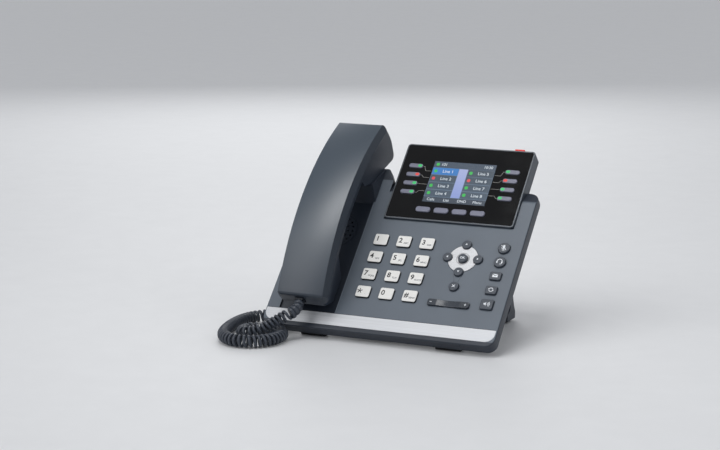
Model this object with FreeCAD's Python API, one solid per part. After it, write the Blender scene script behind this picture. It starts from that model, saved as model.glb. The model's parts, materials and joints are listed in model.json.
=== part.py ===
import FreeCAD, Part
import math
import os

V = FreeCAD.Vector

# Desk telephone, sizes in millimetres.
# The phone is drawn lying on its back: u runs across the face to the right, v up the face
# from its front edge, and h out of the face. Each piece is then tilted about the front edge
# and set on the desk, where x is right, y is back and z is up.

# Stance
TILT = 45.7
DESK_DROP = 10.0

# Housing
BODY_TOP = 156.0
CRADLE_RISE = 12.0
CRADLE_RIGHT = 29.0
CRADLE_STEP = 7.0
CORNER_R = 8.0
TOP_CORNER_R = 10.0
STEP_R = 3.0
EDGE_R = 1.2
SEAM_DEPTH = 6.0
BODY_DEPTH = 12.0
WALL = 2.2
BEVEL_START = 13.0
BEVEL_DROP = 5.2
BEVEL_SPARE = 0.4
BACK_EDGE_R = 2.4
MIC_HOLE_R = 0.7
MIC_HOLE_U = 76.3
MIC_HOLE_H = -3.2

# Rear bulge that holds the sockets
BULGE_IN = 26.0
BULGE_LOW = 62.0
BULGE_HIGH = 135.0
BULGE_DEPTH = 26.0
BULGE_R = 6.0

# Trim strip
TRIM_LOW = 4.3
TRIM_HIGH = 15.7
TRIM_INSET = 1.2
TRIM_T = 1.0
TRIM_PROUD = 0.1
TRIM_GAP = 0.4
TRIM_R = 0.4

# Trough and ear rest of the cradle
TROUGH_IN = 12.0
TROUGH_DEPTH = 2.0
TROUGH_R = 1.0
RIDGE_LOW = 24.7
RIDGE_HIGH = 24.4
RIDGE_RISE = 7.0
REST_W = 52.0
REST_RUN = 8.8
REST_R = 1.2
REST_LEAN = 1.3
REST_ROOF = 1.17
REST_MARGIN = 0.5
CREST_SET = 2.2
CREST_IN = 0.3
SEAT_GAP = 0.4
TAB_W = 12.0
TAB_LEN = 11.0
TAB_START = 5.0
TAB_FLANGE = 1.5
TAB_FLANGE_T = 1.0
TAB_NECK = 1.4
TAB_CUT = 5.0
GRILLE_V = 101.0
GRILLE_R = 17.5
GRILLE_HOLE_R = 0.9
GRILLE_PITCH = 4.4
GRILLE_RINGS = 3
GROOVE_W = 0.6
GROOVE_DEPTH = 0.4

# Handset
HANDSET_IN = 40.0
HANDSET_W = 48.0
HANDSET_FACE_W = 42.0
HANDSET_LOW = 16.5
HANDSET_TOP = 198.5
HANDSET_END_R = 6.0
CHAMFER_DROP = 7.0
HANDSET_WALL = 2.4
WAIST_IN = 5.0
WAIST_BAND = 2.0
HANDSET_SEAM = 8.5
ARCH_V = 106.7
ARCH_H = 60.0
ARCH_R = 235.0
MOUTH_H = 23.5
CHIN_H = 9.5
CHIN_R = 3.0
MOUTH_FRONT_V = 28.0
MOUTH_BACK_V = 52.0
MOUTH_R = 4.0
MOUTH_NECK_RUN = 12.0
MOUTH_NECK_H = 19.0
MOUTH_NECK_R = 10.0
CROWN_V = 197.0
CROWN_H = 25.5
CROWN_R = 3.0
TOP_H = 16.5
TOP_R = 4.0
EAR_FACE_RUN = 46.0
EAR_FACE_DROP = 24.6
HEEL_R = 5.0
EAR_V = 141.0
EAR_H = 14.6
EAR_R = 3.0
NECK_RUN = 10.0
NECK_RISE = 9.9
NECK_R = 8.0
GRIP_BACK_V = 98.0
GRIP_BACK_H = 31.0
GRIP_BACK_R = 105.0
RECEIVER_R = 14.0
RECEIVER_T = 7.0
MOUTH_MIC_R = 5.0
MOUTH_MIC_T = 5.0
EAR_HOLE_R = 0.9
EAR_HOLE_RING = 5.0
MOUTH_HOLE_R = 0.7
MOUTH_HOLE_PITCH = 4.0
HOLE_SPARE = 2.0

# Keys on the face
KEY_PROUD = 2.0
KEY_GAP = 0.3
KEY_TRAVEL = 1.2
FLANGE = 0.8
FLANGE_T = 0.8
FLANGE_GAP = 0.1
STEM_LEN = 1.0
STEM_R = 2.0
KEY_EDGE_R = 0.6
ROUND_SLACK = 0.001
PILL_ROUND = 0.45
END_GAP = 0.2
DIAL_IN = 19.7
DIAL_V = 92.7
DIAL_PITCH_U = 21.44
DIAL_PITCH_V = 17.75
DIAL_W = 12.5
DIAL_L = 10.9
DIAL_R = 1.6
NAV_GAP = 35.62
NAV_V = 81.5
NAV_RING = 13.7
NAV_KEY_D = 8.2
OK_D = 8.2
CANCEL_DROP = 28.3
CANCEL_D = 8.6
FEATURE_GAP = 33.4
FEATURE_IN = 15.7
FEATURE_V = 95.0
FEATURE_PITCH = 14.0
ROUND_KEY_D = 10.4
LABEL_KEY_W = 10.0
LABEL_KEY_L = 7.8
SPEAKER_KEY_W = 11.0
SPEAKER_KEY_L = 9.8
FEATURE_R = 1.4
VOLUME_DROP = 17.2
VOLUME_W = 37.0
VOLUME_L = 5.8
VOLUME_R = 1.8
VOLUME_EDGE_R = 0.3
VOLUME_SET = 0.66
VOLUME_STALK = 3.2
VOLUME_DISH = 60.0
VOLUME_DISH_DEPTH = 0.9
NAV_PLATE_R = 12.9
NAV_PLATE_T = 1.2
NAV_PLATE_SET = 0.9
NAV_DISH_R = 6.2
NAV_DISH_DEPTH = 0.6
PIN_R = 1.0
PIN_FIT = 0.05
LUG_T = 2.4
LUG_GAP = 0.3
LUG_HALF = 2.6
VOLUME_LUG_RIM = 0.7
VOLUME_PIN_SET = 0.4
PIN_END = 0.1

# Display
DISPLAY_IN = 13.15
DISPLAY_SIDE = 3.55
DISPLAY_V = 115.5
DISPLAY_W = 119.3
DISPLAY_L = 79.5
DISPLAY_R = 3.0
DISPLAY_PROUD = 2.2
DISPLAY_DEPTH = 8.0
DISPLAY_GAP = 0.3
LEAST_R = 0.6
RIM = 1.3
RIM_R = 0.52
LEDGE = 1.5
FRAME_WALL = 1.8
LENS_T = 1.2
LENS_SET = 0.2
LENS_GAP = 0.1
SCREEN_W = 57.6
SCREEN_L = 43.2
SCREEN_SHIFT = -0.55
SCREEN_LOW = 19.5
SCREEN_BORDER = 2.0
SCREEN_SET = 0.1
LINE_KEY_W = 13.0
LINE_KEY_L = 4.2
LINE_KEY_OUT = 45.0
LINE_KEY_TOP = 56.0
LINE_KEY_PITCH = 9.24
SOFT_KEY_W = 13.4
SOFT_KEY_L = 5.2
SOFT_KEY_LOW = 11.05
SOFT_KEY_PITCH = 16.76
PILL_PROUD = 1.1
PILL_TRAVEL = 0.8
PILL_STEM = 0.8
LAMP_SHIFT = 44.0
LAMP_W = 8.6
LAMP_L = 2.0
LAMP_T = 4.2
LAMP_PROUD = 2.3

# Boards and inner pieces
MAT_T = 0.8
PILL_MAT_T = 0.5
MAT_HOLE = 1.0
MAT_IN = 1.0
MAT_R = 3.0
BOARD_T = 1.6
BOARD_LEFT_IN = 11.3
BOARD_RIGHT_IN = 9.5
BOARD_LOW = 28.0
BOARD_HIGH_IN = 3.5
BOARD_ARM_REACH = 8.0
BOARD_ARM_IN = 2.0
BOARD_ARM_W = 15.0
POST_R = 2.5
POST_ROOT = 0.1
DISPLAY_POST_IN = 6.0
SPEAKER_R = 16.5
SPEAKER_T = 5.0
MAGNET_R = 9.0
MAGNET_T = 5.0

# Sockets and plugs
PORT_SET = 0.3
NET_PORT_U = 18.0
NET_PORT_PITCH = 24.0
NET_PORT_W = 16.0
PORT_CLEAR = 0.4
PORT_FLOOR = 1.5
JACK_CASE_H = 10.0
NET_PORT_DEPTH = 18.0
NET_HOLE_W = 11.9
NET_HOLE_H = 9.4
NET_HOLE_DEPTH = 13.0
CORD_PORT_IN = 10.0
CORD_PORT_PITCH = 20.0
CORD_PORT_W = 11.4
CORD_PORT_DEPTH = 14.0
CORD_HOLE_W = 7.8
CORD_HOLE_H = 8.9
CORD_HOLE_DEPTH = 11.0
PLUG_W = 7.5
PLUG_H = 6.6
PLUG_IN = 9.0
PLUG_OUT = 2.0
PLUG_R = 0.5
JACK_SHIFT = -1.5
JACK_H = 16.5

# Screws
SCREW_IN = 7.0
SCREW_LOW_V = 24.0
SCREW_HIGH_IN = 16.0
SCREW_R = 1.5
SCREW_HEAD_R = 2.8
SCREW_HEAD_T = 1.5
SCREW_FIT = 0.05
BOSS_R = 3.3
COVER_BOSS_R = 3.8
SCREW_SET = 0.2
SCREW_SLOT = 0.8
SCREW_SLOT_DEPTH = 0.6
BOSS_END = 8.8
SCREW_TIP = 3.4

# Hook lever
HOOK_IN = 1.0
HOOK_H = -6.6
HOOK_ARM = 13.0
HOOK_W = 7.0
HOOK_T = 2.2
HOOK_NOSE = 4.0
HOOK_GAP = 0.35
HOOK_NOSE_R = 1.6
HOOK_HUB_R = 1.6
HOOK_LUG_RIM = 0.9
HOOK_END_GAP = 1.0

# Foot stand and rubber feet
STAND_W = 150.0
STAND_LOW_V = 86.0
STAND_HIGH_V = 128.0
STAND_PLATE_T = 4.5
STAND_LEG_T = 6.5
STAND_REAR = 137.0
STAND_FOOT_L = 19.0
STAND_FOOT_T = 6.0
STAND_WINDOW_W = 112.0
STAND_WINDOW_LOW = 14.0
STAND_WINDOW_HIGH = 58.0
STAND_EDGE_R = 1.0
STAND_SHOULDER = 3.0
STAND_SHOULDER_R = 4.0
STAND_ANKLE_IN = 3.0
STAND_ANKLE_H = 6.0
STAND_INSTEP = 4.0
STAND_FLARE = 1.0
STAND_BEND_R = 5.0
STAND_FOOT_R = 2.0
TONGUE_U = 45.0
TONGUE_W = 10.0
TONGUE_V = 104.0
TONGUE_L = 12.0
TONGUE_T = 3.4
TONGUE_GAP = 0.1
PAD_T = 2.0
PAD_W = 24.0
PAD_IN = 15.0
PAD_SIDE = 2.0
PAD_R = 3.0
FRONT_FOOT_U = 62.0
FRONT_FOOT_W = 22.0
FRONT_FOOT_LOW = 4.0
FRONT_FOOT_HIGH = 14.0
FRONT_FOOT_R = 1.0

# Curly cord
WIRE_D = 2.6
COIL_OD = 10.8
COIL_PITCH = 3.55
COIL_GAP = 0.62
COIL_START = 5.0
COIL_END_LEAD = 38.0
TAPER_RUN = 13.0
TAPER_PITCH = 11.8
LEAD_STEP = 3.0
CORD_LEAD = 6.4
CORD_STEPS = 6000
TIGHT_SHARE = 0.3
# Route of the cord's centre over the desk, measured from the face's front edge, chosen by eye
CORD_ROUTE = [
    (-71.0, -10.0, 23.2),
    (-76.5, -16.0, 20.3),
    (-83.0, -22.0, 15.6),
    (-90.0, -27.0, 11.0),
    (-97.5, -29.5, 8.4),
    (-105.9, -29.5, 6.9),
    (-113.0, -21.9, 5.9),
    (-113.0, -11.1, 5.7),
    (-105.9, -4.6, 5.7),
    (-95.0, -4.1, 5.7),
    (-84.0, -7.0, 5.7),
    (-76.5, -15.5, 5.7),
    (-75.0, -28.5, 5.7),
    (-79.5, -41.0, 5.7),
    (-89.5, -50.0, 5.7),
    (-102.5, -52.5, 5.7),
    (-115.0, -46.5, 5.7),
    (-123.5, -35.0, 5.7),
    (-128.5, -20.0, 5.7),
    (-131.5, -4.0, 5.7),
    (-132.5, 12.0, 5.7),
    (-130.0, 27.0, 5.7),
    (-121.0, 37.0, 6.2),
    (-107.0, 37.5, 9.0),
    (-92.0, 35.0, 14.0),
    (-79.0, 35.0, 20.5),
]

# Places and levels worked out from the sizes above
KEY_ROW_W = HANDSET_IN + RIDGE_LOW + DIAL_IN + 2 * DIAL_PITCH_U + NAV_GAP + FEATURE_GAP + FEATURE_IN
DISPLAY_ROW_W = HANDSET_IN + CRADLE_RIGHT + CRADLE_STEP + DISPLAY_SIDE + DISPLAY_W + DISPLAY_IN
BODY_W = max(KEY_ROW_W, DISPLAY_ROW_W)
RIGHT = BODY_W / 2
BULGE_W = BODY_W - 2 * BULGE_IN
CRADLE_TOP = BODY_TOP + CRADLE_RISE
HANDSET_U = HANDSET_IN - RIGHT
TROUGH_LEFT = TROUGH_IN - RIGHT
RIDGE_LOW_U = HANDSET_U + RIDGE_LOW
RIDGE_HIGH_U = HANDSET_U + RIDGE_HIGH
CRADLE_EDGE = HANDSET_U + CRADLE_RIGHT
CREST_V = EAR_V - CREST_SET
REST_FOOT_V = CREST_V - REST_RUN
RIDGE_HIGH_V = REST_FOOT_V + RIDGE_RISE
NECK_V = EAR_V - NECK_RUN
NECK_H = EAR_H + NECK_RISE
HEEL_V = EAR_V + EAR_FACE_RUN
HEEL_H = EAR_H - EAR_FACE_DROP
MOUTH_NECK_V = MOUTH_BACK_V + MOUTH_NECK_RUN
MOUTH_MIC_V = (MOUTH_FRONT_V + MOUTH_BACK_V) / 2
HOOK_V = MOUTH_BACK_V - HOOK_IN
DIAL_U = RIDGE_LOW_U + DIAL_IN
FEATURE_U = RIGHT - FEATURE_IN
NAV_U = FEATURE_U - FEATURE_GAP
CANCEL_V = NAV_V - CANCEL_DROP
VOLUME_V = CANCEL_V - VOLUME_DROP
DISPLAY_U = RIGHT - DISPLAY_IN - DISPLAY_W / 2
SCREW_U = RIGHT - SCREW_IN
SCREW_HIGH_V = BODY_TOP - SCREW_HIGH_IN
BOARD_LEFT = RIDGE_LOW_U + BOARD_LEFT_IN
BOARD_RIGHT = RIGHT - BOARD_RIGHT_IN
BOARD_HIGH = DISPLAY_V - BOARD_HIGH_IN
CORD_PORT_U = CORD_PORT_IN - BULGE_W / 2
JACK_U = HANDSET_U + JACK_SHIFT
FACE_KEY_LOW = -(WALL + FLANGE_GAP + FLANGE_T + STEM_LEN)
MAT_TOP = FACE_KEY_LOW - KEY_TRAVEL - END_GAP
BOARD_TOP = MAT_TOP - MAT_T
BOARD_LOW_H = BOARD_TOP - BOARD_T
COVER_FLOOR = -(BODY_DEPTH - WALL)
BULGE_FLOOR = -(BULGE_DEPTH - WALL)
PORT_LOW_H = BULGE_FLOOR + PORT_CLEAR
BASE_PLUG_H = PORT_LOW_H + PORT_FLOOR + CORD_HOLE_H / 2
LENS_TOP = DISPLAY_PROUD - LENS_SET
LENS_LOW = LENS_TOP - LENS_T
PILL_LOW = LENS_LOW - FLANGE_GAP - FLANGE_T - PILL_STEM
PILL_MAT_TOP = PILL_LOW - PILL_TRAVEL - END_GAP
MID_PLATE_TOP = PILL_MAT_TOP - PILL_MAT_T
MID_PLATE_LOW = MID_PLATE_TOP - FRAME_WALL
DISPLAY_MID_V = DISPLAY_V + DISPLAY_L / 2
SCREEN_U = DISPLAY_U + SCREEN_SHIFT
SCREEN_V = DISPLAY_V + SCREEN_LOW + SCREEN_L / 2
TROUGH_FLOOR = -TROUGH_DEPTH
TROUGH_UNDER = TROUGH_FLOOR - WALL
MOUTH_REST_H = TROUGH_FLOOR + SEAT_GAP
FAR = 400.0
HAIR = 0.01
LEAST_RUN = 0.05
SIN = math.sin(math.radians(TILT))
COS = math.cos(math.radians(TILT))


def flat(a, b):
    """A point of an outline seen from above the face."""
    return V(a, b, 0)


def side(a, b):
    """A point of an outline seen from the right, at u = 0."""
    return V(0, a, b)


def corner_reach(corners, i):
    """How far the arc at a corner reaches along its two runs, before it is fitted to them."""
    a, b, radius = corners[i]
    before = corners[i - 1]
    after = corners[(i + 1) % len(corners)]
    turn = math.atan2(after[1] - b, after[0] - a) - math.atan2(b - before[1], a - before[0])
    return radius * abs(math.tan(turn / 2))


def fitted(corners):
    """Corners (a, b, radius) with each arc no larger than the two runs that it joins leave room for."""
    count = len(corners)
    reaches = [corner_reach(corners, i) for i in range(count)]
    shares = [1.0] * count
    for i in range(count):
        after = (i + 1) % count
        room = math.dist(corners[i][:2], corners[after][:2]) - LEAST_RUN
        wanted = reaches[i] + reaches[after]
        if wanted > room:
            shares[i] = min(shares[i], room / wanted)
            shares[after] = min(shares[after], room / wanted)
    return [(a, b, radius * share) for (a, b, radius), share in zip(corners, shares)]


def outline(corners, place=flat):
    """Closed wire through corners (a, b, radius), with an arc wherever the radius is not zero."""
    ends = []
    count = len(corners)
    fits = fitted(corners)
    for i in range(count):
        before = place(*corners[i - 1][:2])
        here = place(*corners[i][:2])
        after = place(*corners[(i + 1) % count][:2])
        radius = fits[i][2]
        if radius == 0:
            ends.append((here, None, here))
            continue
        to_before = (before - here).normalize()
        to_after = (after - here).normalize()
        half = to_before.getAngle(to_after) / 2
        reach = radius / math.tan(half)
        inward = (to_before + to_after).normalize()
        middle = here + inward * (radius / math.sin(half) - radius)
        ends.append((here + to_before * reach, middle, here + to_after * reach))
    edges = []
    for i in range(count):
        first, middle, last = ends[i]
        if middle is not None:
            edges.append(Part.Arc(first, middle, last).toShape())
        following = ends[(i + 1) % count][0]
        if last.distanceToPoint(following) > HAIR / 100:
            edges.append(Part.makeLine(last, following))
    return Part.Wire(edges)


def plate(corners, low, high):
    """Plate with the given outline between two heights above the face."""
    face = Part.Face(outline(corners))
    face.translate(V(0, 0, low))
    return face.extrude(V(0, 0, high - low))


def bar(corners, left, right):
    """Bar across the phone with the given side outline."""
    face = Part.Face(outline(corners, side))
    face.translate(V(left, 0, 0))
    return face.extrude(V(right - left, 0, 0))


def rect(u, v, width, length, radius=0.0):
    """Corners of a rectangle about a centre."""
    a = width / 2
    b = length / 2
    return [(u - a, v - b, radius), (u + a, v - b, radius), (u + a, v + b, radius), (u - a, v + b, radius)]


def box(left, right, near, far, low, high):
    return Part.makeBox(right - left, far - near, high - low, V(left, near, low))


def disc(u, v, radius, low, high):
    return Part.makeCylinder(radius, high - low, V(u, v, low))


def across(v, h, radius, left, right):
    """Pin along u."""
    return Part.makeCylinder(radius, right - left, V(left, v, h), V(1, 0, 0))


def along(u, h, radius, near, far):
    """Pin along v."""
    return Part.makeCylinder(radius, far - near, V(u, near, h), V(0, 1, 0))


def joined(shapes):
    """One solid from shapes that touch."""
    return shapes[0].multiFuse(shapes[1:]).removeSplitter()


def to_desk(v, h):
    """Place (y, z) on the desk of a point (v, h) of the phone's side view."""
    return (v * COS - h * SIN, v * SIN + h * COS + DESK_DROP)


def tilted(shape):
    """A piece drawn lying on its back, set up on the desk."""
    spin = FreeCAD.Rotation(V(1, 0, 0), TILT)
    moved = shape.copy()
    moved.Placement = FreeCAD.Placement(V(0, 0, DESK_DROP), spin).multiply(moved.Placement)
    return moved


# Keys: name, centre, width, length, corner radius


def dial_keys():
    names = ["1", "2", "3", "4", "5", "6", "7", "8", "9", "star", "0", "hash"]
    keys = []
    for i, name in enumerate(names):
        u = DIAL_U + DIAL_PITCH_U * (i % 3)
        v = DIAL_V - DIAL_PITCH_V * (i // 3)
        keys.append(("dial_key_" + name, u, v, DIAL_W, DIAL_L, DIAL_R))
    return keys


def round_key(name, u, v, size):
    return (name, u, v, size, size, size / 2 - ROUND_SLACK)


def nav_keys():
    return [
        round_key("arrow_key_up", NAV_U, NAV_V + NAV_RING, NAV_KEY_D),
        round_key("arrow_key_down", NAV_U, NAV_V - NAV_RING, NAV_KEY_D),
        round_key("arrow_key_left", NAV_U - NAV_RING, NAV_V, NAV_KEY_D),
        round_key("arrow_key_right", NAV_U + NAV_RING, NAV_V, NAV_KEY_D),
        round_key("ok_key", NAV_U, NAV_V, OK_D),
        round_key("cancel_key", NAV_U, CANCEL_V, CANCEL_D),
    ]


def feature_keys():
    rows = [FEATURE_V - FEATURE_PITCH * i for i in range(5)]
    return [
        round_key("mute_key", FEATURE_U, rows[0], ROUND_KEY_D),
        round_key("headset_key", FEATURE_U, rows[1], ROUND_KEY_D),
        ("message_key", FEATURE_U, rows[2], LABEL_KEY_W, LABEL_KEY_L, FEATURE_R),
        ("redial_key", FEATURE_U, rows[3], LABEL_KEY_W, LABEL_KEY_L, FEATURE_R),
        ("speaker_key", FEATURE_U, rows[4], SPEAKER_KEY_W, SPEAKER_KEY_L, FEATURE_R),
    ]


def pill_keys():
    keys = []
    for word, way in (("left", -1), ("right", 1)):
        for i in range(4):
            v = DISPLAY_V + LINE_KEY_TOP - LINE_KEY_PITCH * i
            u = SCREEN_U + way * LINE_KEY_OUT
            name = "line_key_{}_{}".format(word, i + 1)
            keys.append((name, u, v, LINE_KEY_W, LINE_KEY_L, LINE_KEY_L * PILL_ROUND))
    for i in range(4):
        u = SCREEN_U + SOFT_KEY_PITCH * (i - 1.5)
        v = DISPLAY_V + SOFT_KEY_LOW
        keys.append(("soft_key_" + str(i + 1), u, v, SOFT_KEY_W, SOFT_KEY_L, SOFT_KEY_L * PILL_ROUND))
    return keys


FACE_KEYS = dial_keys() + nav_keys() + feature_keys()
PILL_KEYS = pill_keys()


def grown(key, by):
    """Corners of a key's outline, larger by the given margin all round."""
    name, u, v, width, length, radius = key
    return rect(u, v, width + 2 * by, length + 2 * by, radius + by)


def key_solid(key, under, top, stem):
    """Cap in its hole, a flange held under the plate, and a stem that presses the mat."""
    name, u, v, width, length, radius = key
    flange_top = under - FLANGE_GAP
    flange_low = flange_top - FLANGE_T
    cap = plate(grown(key, 0), flange_low, top)
    rim = [edge for edge in cap.Edges if edge.BoundBox.ZMin > top - 0.01]
    cap = cap.makeFillet(min(KEY_EDGE_R, length / 8), rim)
    flange = plate(grown(key, FLANGE), flange_low, flange_top)
    stem_r = min(STEM_R, length / 3)
    return joined([cap, flange, disc(u, v, stem_r, flange_low - stem, flange_low)])


# Front housing


def body_outline():
    half = BODY_W / 2
    return [
        (-half, 0, CORNER_R),
        (half, 0, CORNER_R),
        (half, BODY_TOP, TOP_CORNER_R),
        (CRADLE_EDGE + CRADLE_STEP, BODY_TOP, STEP_R),
        (CRADLE_EDGE, CRADLE_TOP, STEP_R),
        (-half, CRADLE_TOP, TOP_CORNER_R),
    ]


def inner_body(low, high):
    """Room inside the body's walls."""
    wire = outline(body_outline()).makeOffset2D(-WALL)
    face = Part.Face(wire)
    face.translate(V(0, 0, low))
    return face.extrude(V(0, 0, high - low))


def trough_outline(margin):
    """Trough for the handset, from the trim strip up to the ear rest."""
    low = TRIM_HIGH + TRIM_GAP - margin
    high = RIDGE_HIGH_V + margin
    return [
        (TROUGH_LEFT - margin, low, TROUGH_R),
        (RIDGE_LOW_U + margin, low, TROUGH_R),
        (RIDGE_HIGH_U + margin, high, TROUGH_R),
        (TROUGH_LEFT - margin, high, TROUGH_R),
    ]


def ramp_height(v):
    """Height of the ear rest's ramp, which lies along the handset's ear face."""
    slope = (HEEL_H - EAR_H) / (HEEL_V - EAR_V)
    drop = SEAT_GAP * math.hypot(1, slope)
    return EAR_H + slope * (v - EAR_V) - drop


def ear_rest_outline(inset):
    """Side of the ear rest: a front wall that leans back from the trough, and the ramp behind it."""
    top_v = CRADLE_TOP - EDGE_R - inset
    crest_v = CREST_V + inset * CREST_IN
    roof = inset * REST_ROOF
    floor = TROUGH_UNDER if inset == 0 else -SEAM_DEPTH - 1
    return [
        (REST_FOOT_V + inset * REST_LEAN, floor, 0),
        (top_v, floor, 0),
        (top_v, ramp_height(top_v) - roof, 0),
        (crest_v, ramp_height(crest_v) - roof, REST_R),
    ]


def ear_rest(inset):
    half = REST_W / 2 - inset
    return bar(ear_rest_outline(inset), HANDSET_U - half, HANDSET_U + half)


def ramp_slab(width, start, length, top, bottom):
    """Block let into the ramp: start and length run down the ramp, top and bottom across it."""
    block = Part.makeBox(width, length, top - bottom, V(-width / 2, start, bottom))
    angle = math.degrees(math.atan2(HEEL_H - EAR_H, HEEL_V - EAR_V))
    crest = V(HANDSET_U, CREST_V, ramp_height(CREST_V))
    spot = FreeCAD.Placement(crest, FreeCAD.Rotation(V(1, 0, 0), angle))
    block.Placement = spot.multiply(block.Placement)
    return block


def cradle_tab():
    """Tab flush with the ramp, on a neck with a flange behind the ramp's wall."""
    flange_top = -WALL - TAB_NECK
    core = ramp_slab(TAB_W, TAB_START, TAB_LEN, 0, flange_top)
    flange = ramp_slab(
        TAB_W + 2 * TAB_FLANGE,
        TAB_START - TAB_FLANGE,
        TAB_LEN + 2 * TAB_FLANGE,
        flange_top,
        flange_top - TAB_FLANGE_T,
    )
    return joined([core, flange])


def grille_hole(u, v):
    return disc(u, v, GRILLE_HOLE_R, -FAR, FAR)


def grille_holes():
    """Rings of small holes through the trough's floor."""
    holes = [grille_hole(HANDSET_U, GRILLE_V)]
    for ring in range(1, GRILLE_RINGS + 1):
        for i in range(6 * ring):
            turn = 2 * math.pi * i / (6 * ring)
            u = HANDSET_U + GRILLE_PITCH * ring * math.cos(turn)
            v = GRILLE_V + GRILLE_PITCH * ring * math.sin(turn)
            holes.append(grille_hole(u, v))
    return holes


def grille_groove():
    floor = TROUGH_FLOOR - GROOVE_DEPTH
    outer = disc(HANDSET_U, GRILLE_V, GRILLE_R, floor, 0)
    return outer.cut(disc(HANDSET_U, GRILLE_V, GRILLE_R - GROOVE_W, floor, 0))


def trim_outline(margin):
    half = BODY_W / 2 - TRIM_INSET
    return [
        (-half, TRIM_LOW - margin / 2, CORNER_R),
        (half, TRIM_LOW - margin / 2, CORNER_R),
        (half, TRIM_HIGH + margin, TRIM_R),
        (-half, TRIM_HIGH + margin, TRIM_R),
    ]


def display_notch(margin):
    """Room for the display, open at the top edge of the body."""
    width = DISPLAY_W + 2 * DISPLAY_GAP + 2 * margin
    low = DISPLAY_V - DISPLAY_GAP - margin
    return box(DISPLAY_U - width / 2, DISPLAY_U + width / 2, low, FAR, -FAR, FAR)


def screw_places():
    return [(way * SCREW_U, v) for way in (-1, 1) for v in (SCREW_LOW_V, SCREW_HIGH_V)]


def hook_lugs():
    """Bearings of the hook lever under the trough, each with the pin's hole."""
    low = HOOK_H - PIN_R - HOOK_LUG_RIM
    lugs = []
    for way in (-1, 1):
        middle = HANDSET_U + way * (HOOK_W / 2 + LUG_GAP + LUG_T / 2)
        left = middle - LUG_T / 2
        lugs.append(box(left, left + LUG_T, HOOK_V - LUG_HALF, HOOK_V + LUG_HALF, low, TROUGH_UNDER))
    return lugs


def volume_axis():
    return -WALL - PIN_R - VOLUME_PIN_SET


def volume_lugs():
    """Bearings of the volume rocker under the face."""
    low = volume_axis() - PIN_R - VOLUME_LUG_RIM
    lugs = []
    for way in (-1, 1):
        middle = VOLUME_V + way * (VOLUME_L / 2 + LUG_GAP + LUG_T / 2)
        near = middle - LUG_T / 2
        lugs.append(box(NAV_U - LUG_HALF, NAV_U + LUG_HALF, near, near + LUG_T, low, -WALL))
    return lugs


def beveled_shell():
    """Face plate and side walls, sloping down to the top edges of the body and of the cradle."""
    shell = plate(body_outline(), -SEAM_DEPTH, 0)
    rim = [edge for edge in shell.Edges if edge.BoundBox.ZMin > -HAIR]
    shell = shell.makeFillet(EDGE_R, rim)
    bevels = [
        (CRADLE_EDGE + CRADLE_STEP, FAR, BODY_TOP),
        (-FAR, HANDSET_U - REST_W / 2 - REST_MARGIN, CRADLE_TOP),
    ]
    for left, right, top in bevels:
        start = top - BEVEL_START
        end = top + BEVEL_START
        corners = [(start, 0, 0), (end, -2 * BEVEL_DROP, 0), (end, FAR, 0), (start, FAR, 0)]
        shell = shell.cut(bar(corners, left, right))
    return shell


def front_room():
    """Room under the face plate, without the walls round the trough, the display and the bevels."""
    under = -WALL - BEVEL_DROP - BEVEL_SPARE
    near = BODY_TOP - BEVEL_START - WALL
    kept = [
        plate(trough_outline(WALL), TROUGH_UNDER, 0),
        display_notch(WALL),
        box(-FAR, FAR, near, FAR, under, FAR),
    ]
    return inner_body(-SEAM_DEPTH - 1, -WALL).cut(Part.Compound(kept))


def rocker_slot():
    corners = rect(NAV_U, VOLUME_V, VOLUME_W + 2 * KEY_GAP, VOLUME_L + 2 * KEY_GAP, VOLUME_R + KEY_GAP)
    return plate(corners, -WALL - HAIR, FAR)


def tab_slot():
    width = TAB_W + 2 * LENS_GAP
    return ramp_slab(width, TAB_START - LENS_GAP, TAB_LEN + 2 * LENS_GAP, TAB_CUT, -WALL - TAB_CUT)


def front_housing():
    shell = beveled_shell().cut(front_room())
    shell = shell.cut(plate(trough_outline(0), TROUGH_FLOOR, FAR))
    shell = shell.fuse(ear_rest(0)).cut(ear_rest(WALL))
    bosses = [disc(u, v, BOSS_R, -BOSS_END, -WALL / 2) for u, v in screw_places()]
    shell = shell.multiFuse(bosses + hook_lugs() + volume_lugs())
    pin_hole = PIN_R + PIN_FIT
    rocker_reach = VOLUME_L + LUG_T
    hook_reach = HOOK_W + LUG_T
    cuts = [display_notch(0)]
    cuts += [plate(grown(key, KEY_GAP), -FAR, FAR) for key in FACE_KEYS]
    cuts += [disc(u, v, SCREW_R + SCREW_FIT, -FAR, -SCREW_TIP + END_GAP) for u, v in screw_places()]
    cuts.append(plate(trim_outline(TRIM_GAP), TRIM_PROUD - TRIM_T, FAR))
    cuts.append(disc(NAV_U, NAV_V, NAV_PLATE_R + LENS_GAP, -NAV_PLATE_SET, FAR))
    cuts.append(rocker_slot())
    cuts.append(along(NAV_U, volume_axis(), pin_hole, VOLUME_V - rocker_reach, VOLUME_V + rocker_reach))
    cuts.append(along(MIC_HOLE_U, MIC_HOLE_H, MIC_HOLE_R, -FAR, 2 * WALL))
    cuts.append(hook_slot())
    cuts.append(across(HOOK_V, HOOK_H, pin_hole, HANDSET_U - hook_reach, HANDSET_U + hook_reach))
    cuts.append(grille_groove())
    cuts.append(tab_slot())
    cuts += grille_holes()
    return shell.cut(Part.Compound(cuts)).removeSplitter()


def hook_slot():
    half = HOOK_W / 2 + LUG_GAP
    near = HOOK_V - HOOK_ARM - HOOK_NOSE / 2 - HOOK_END_GAP
    far = HOOK_V + LUG_HALF + LUG_GAP
    return box(HANDSET_U - half, HANDSET_U + half, near, far, TROUGH_UNDER - HAIR, FAR)


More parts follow.
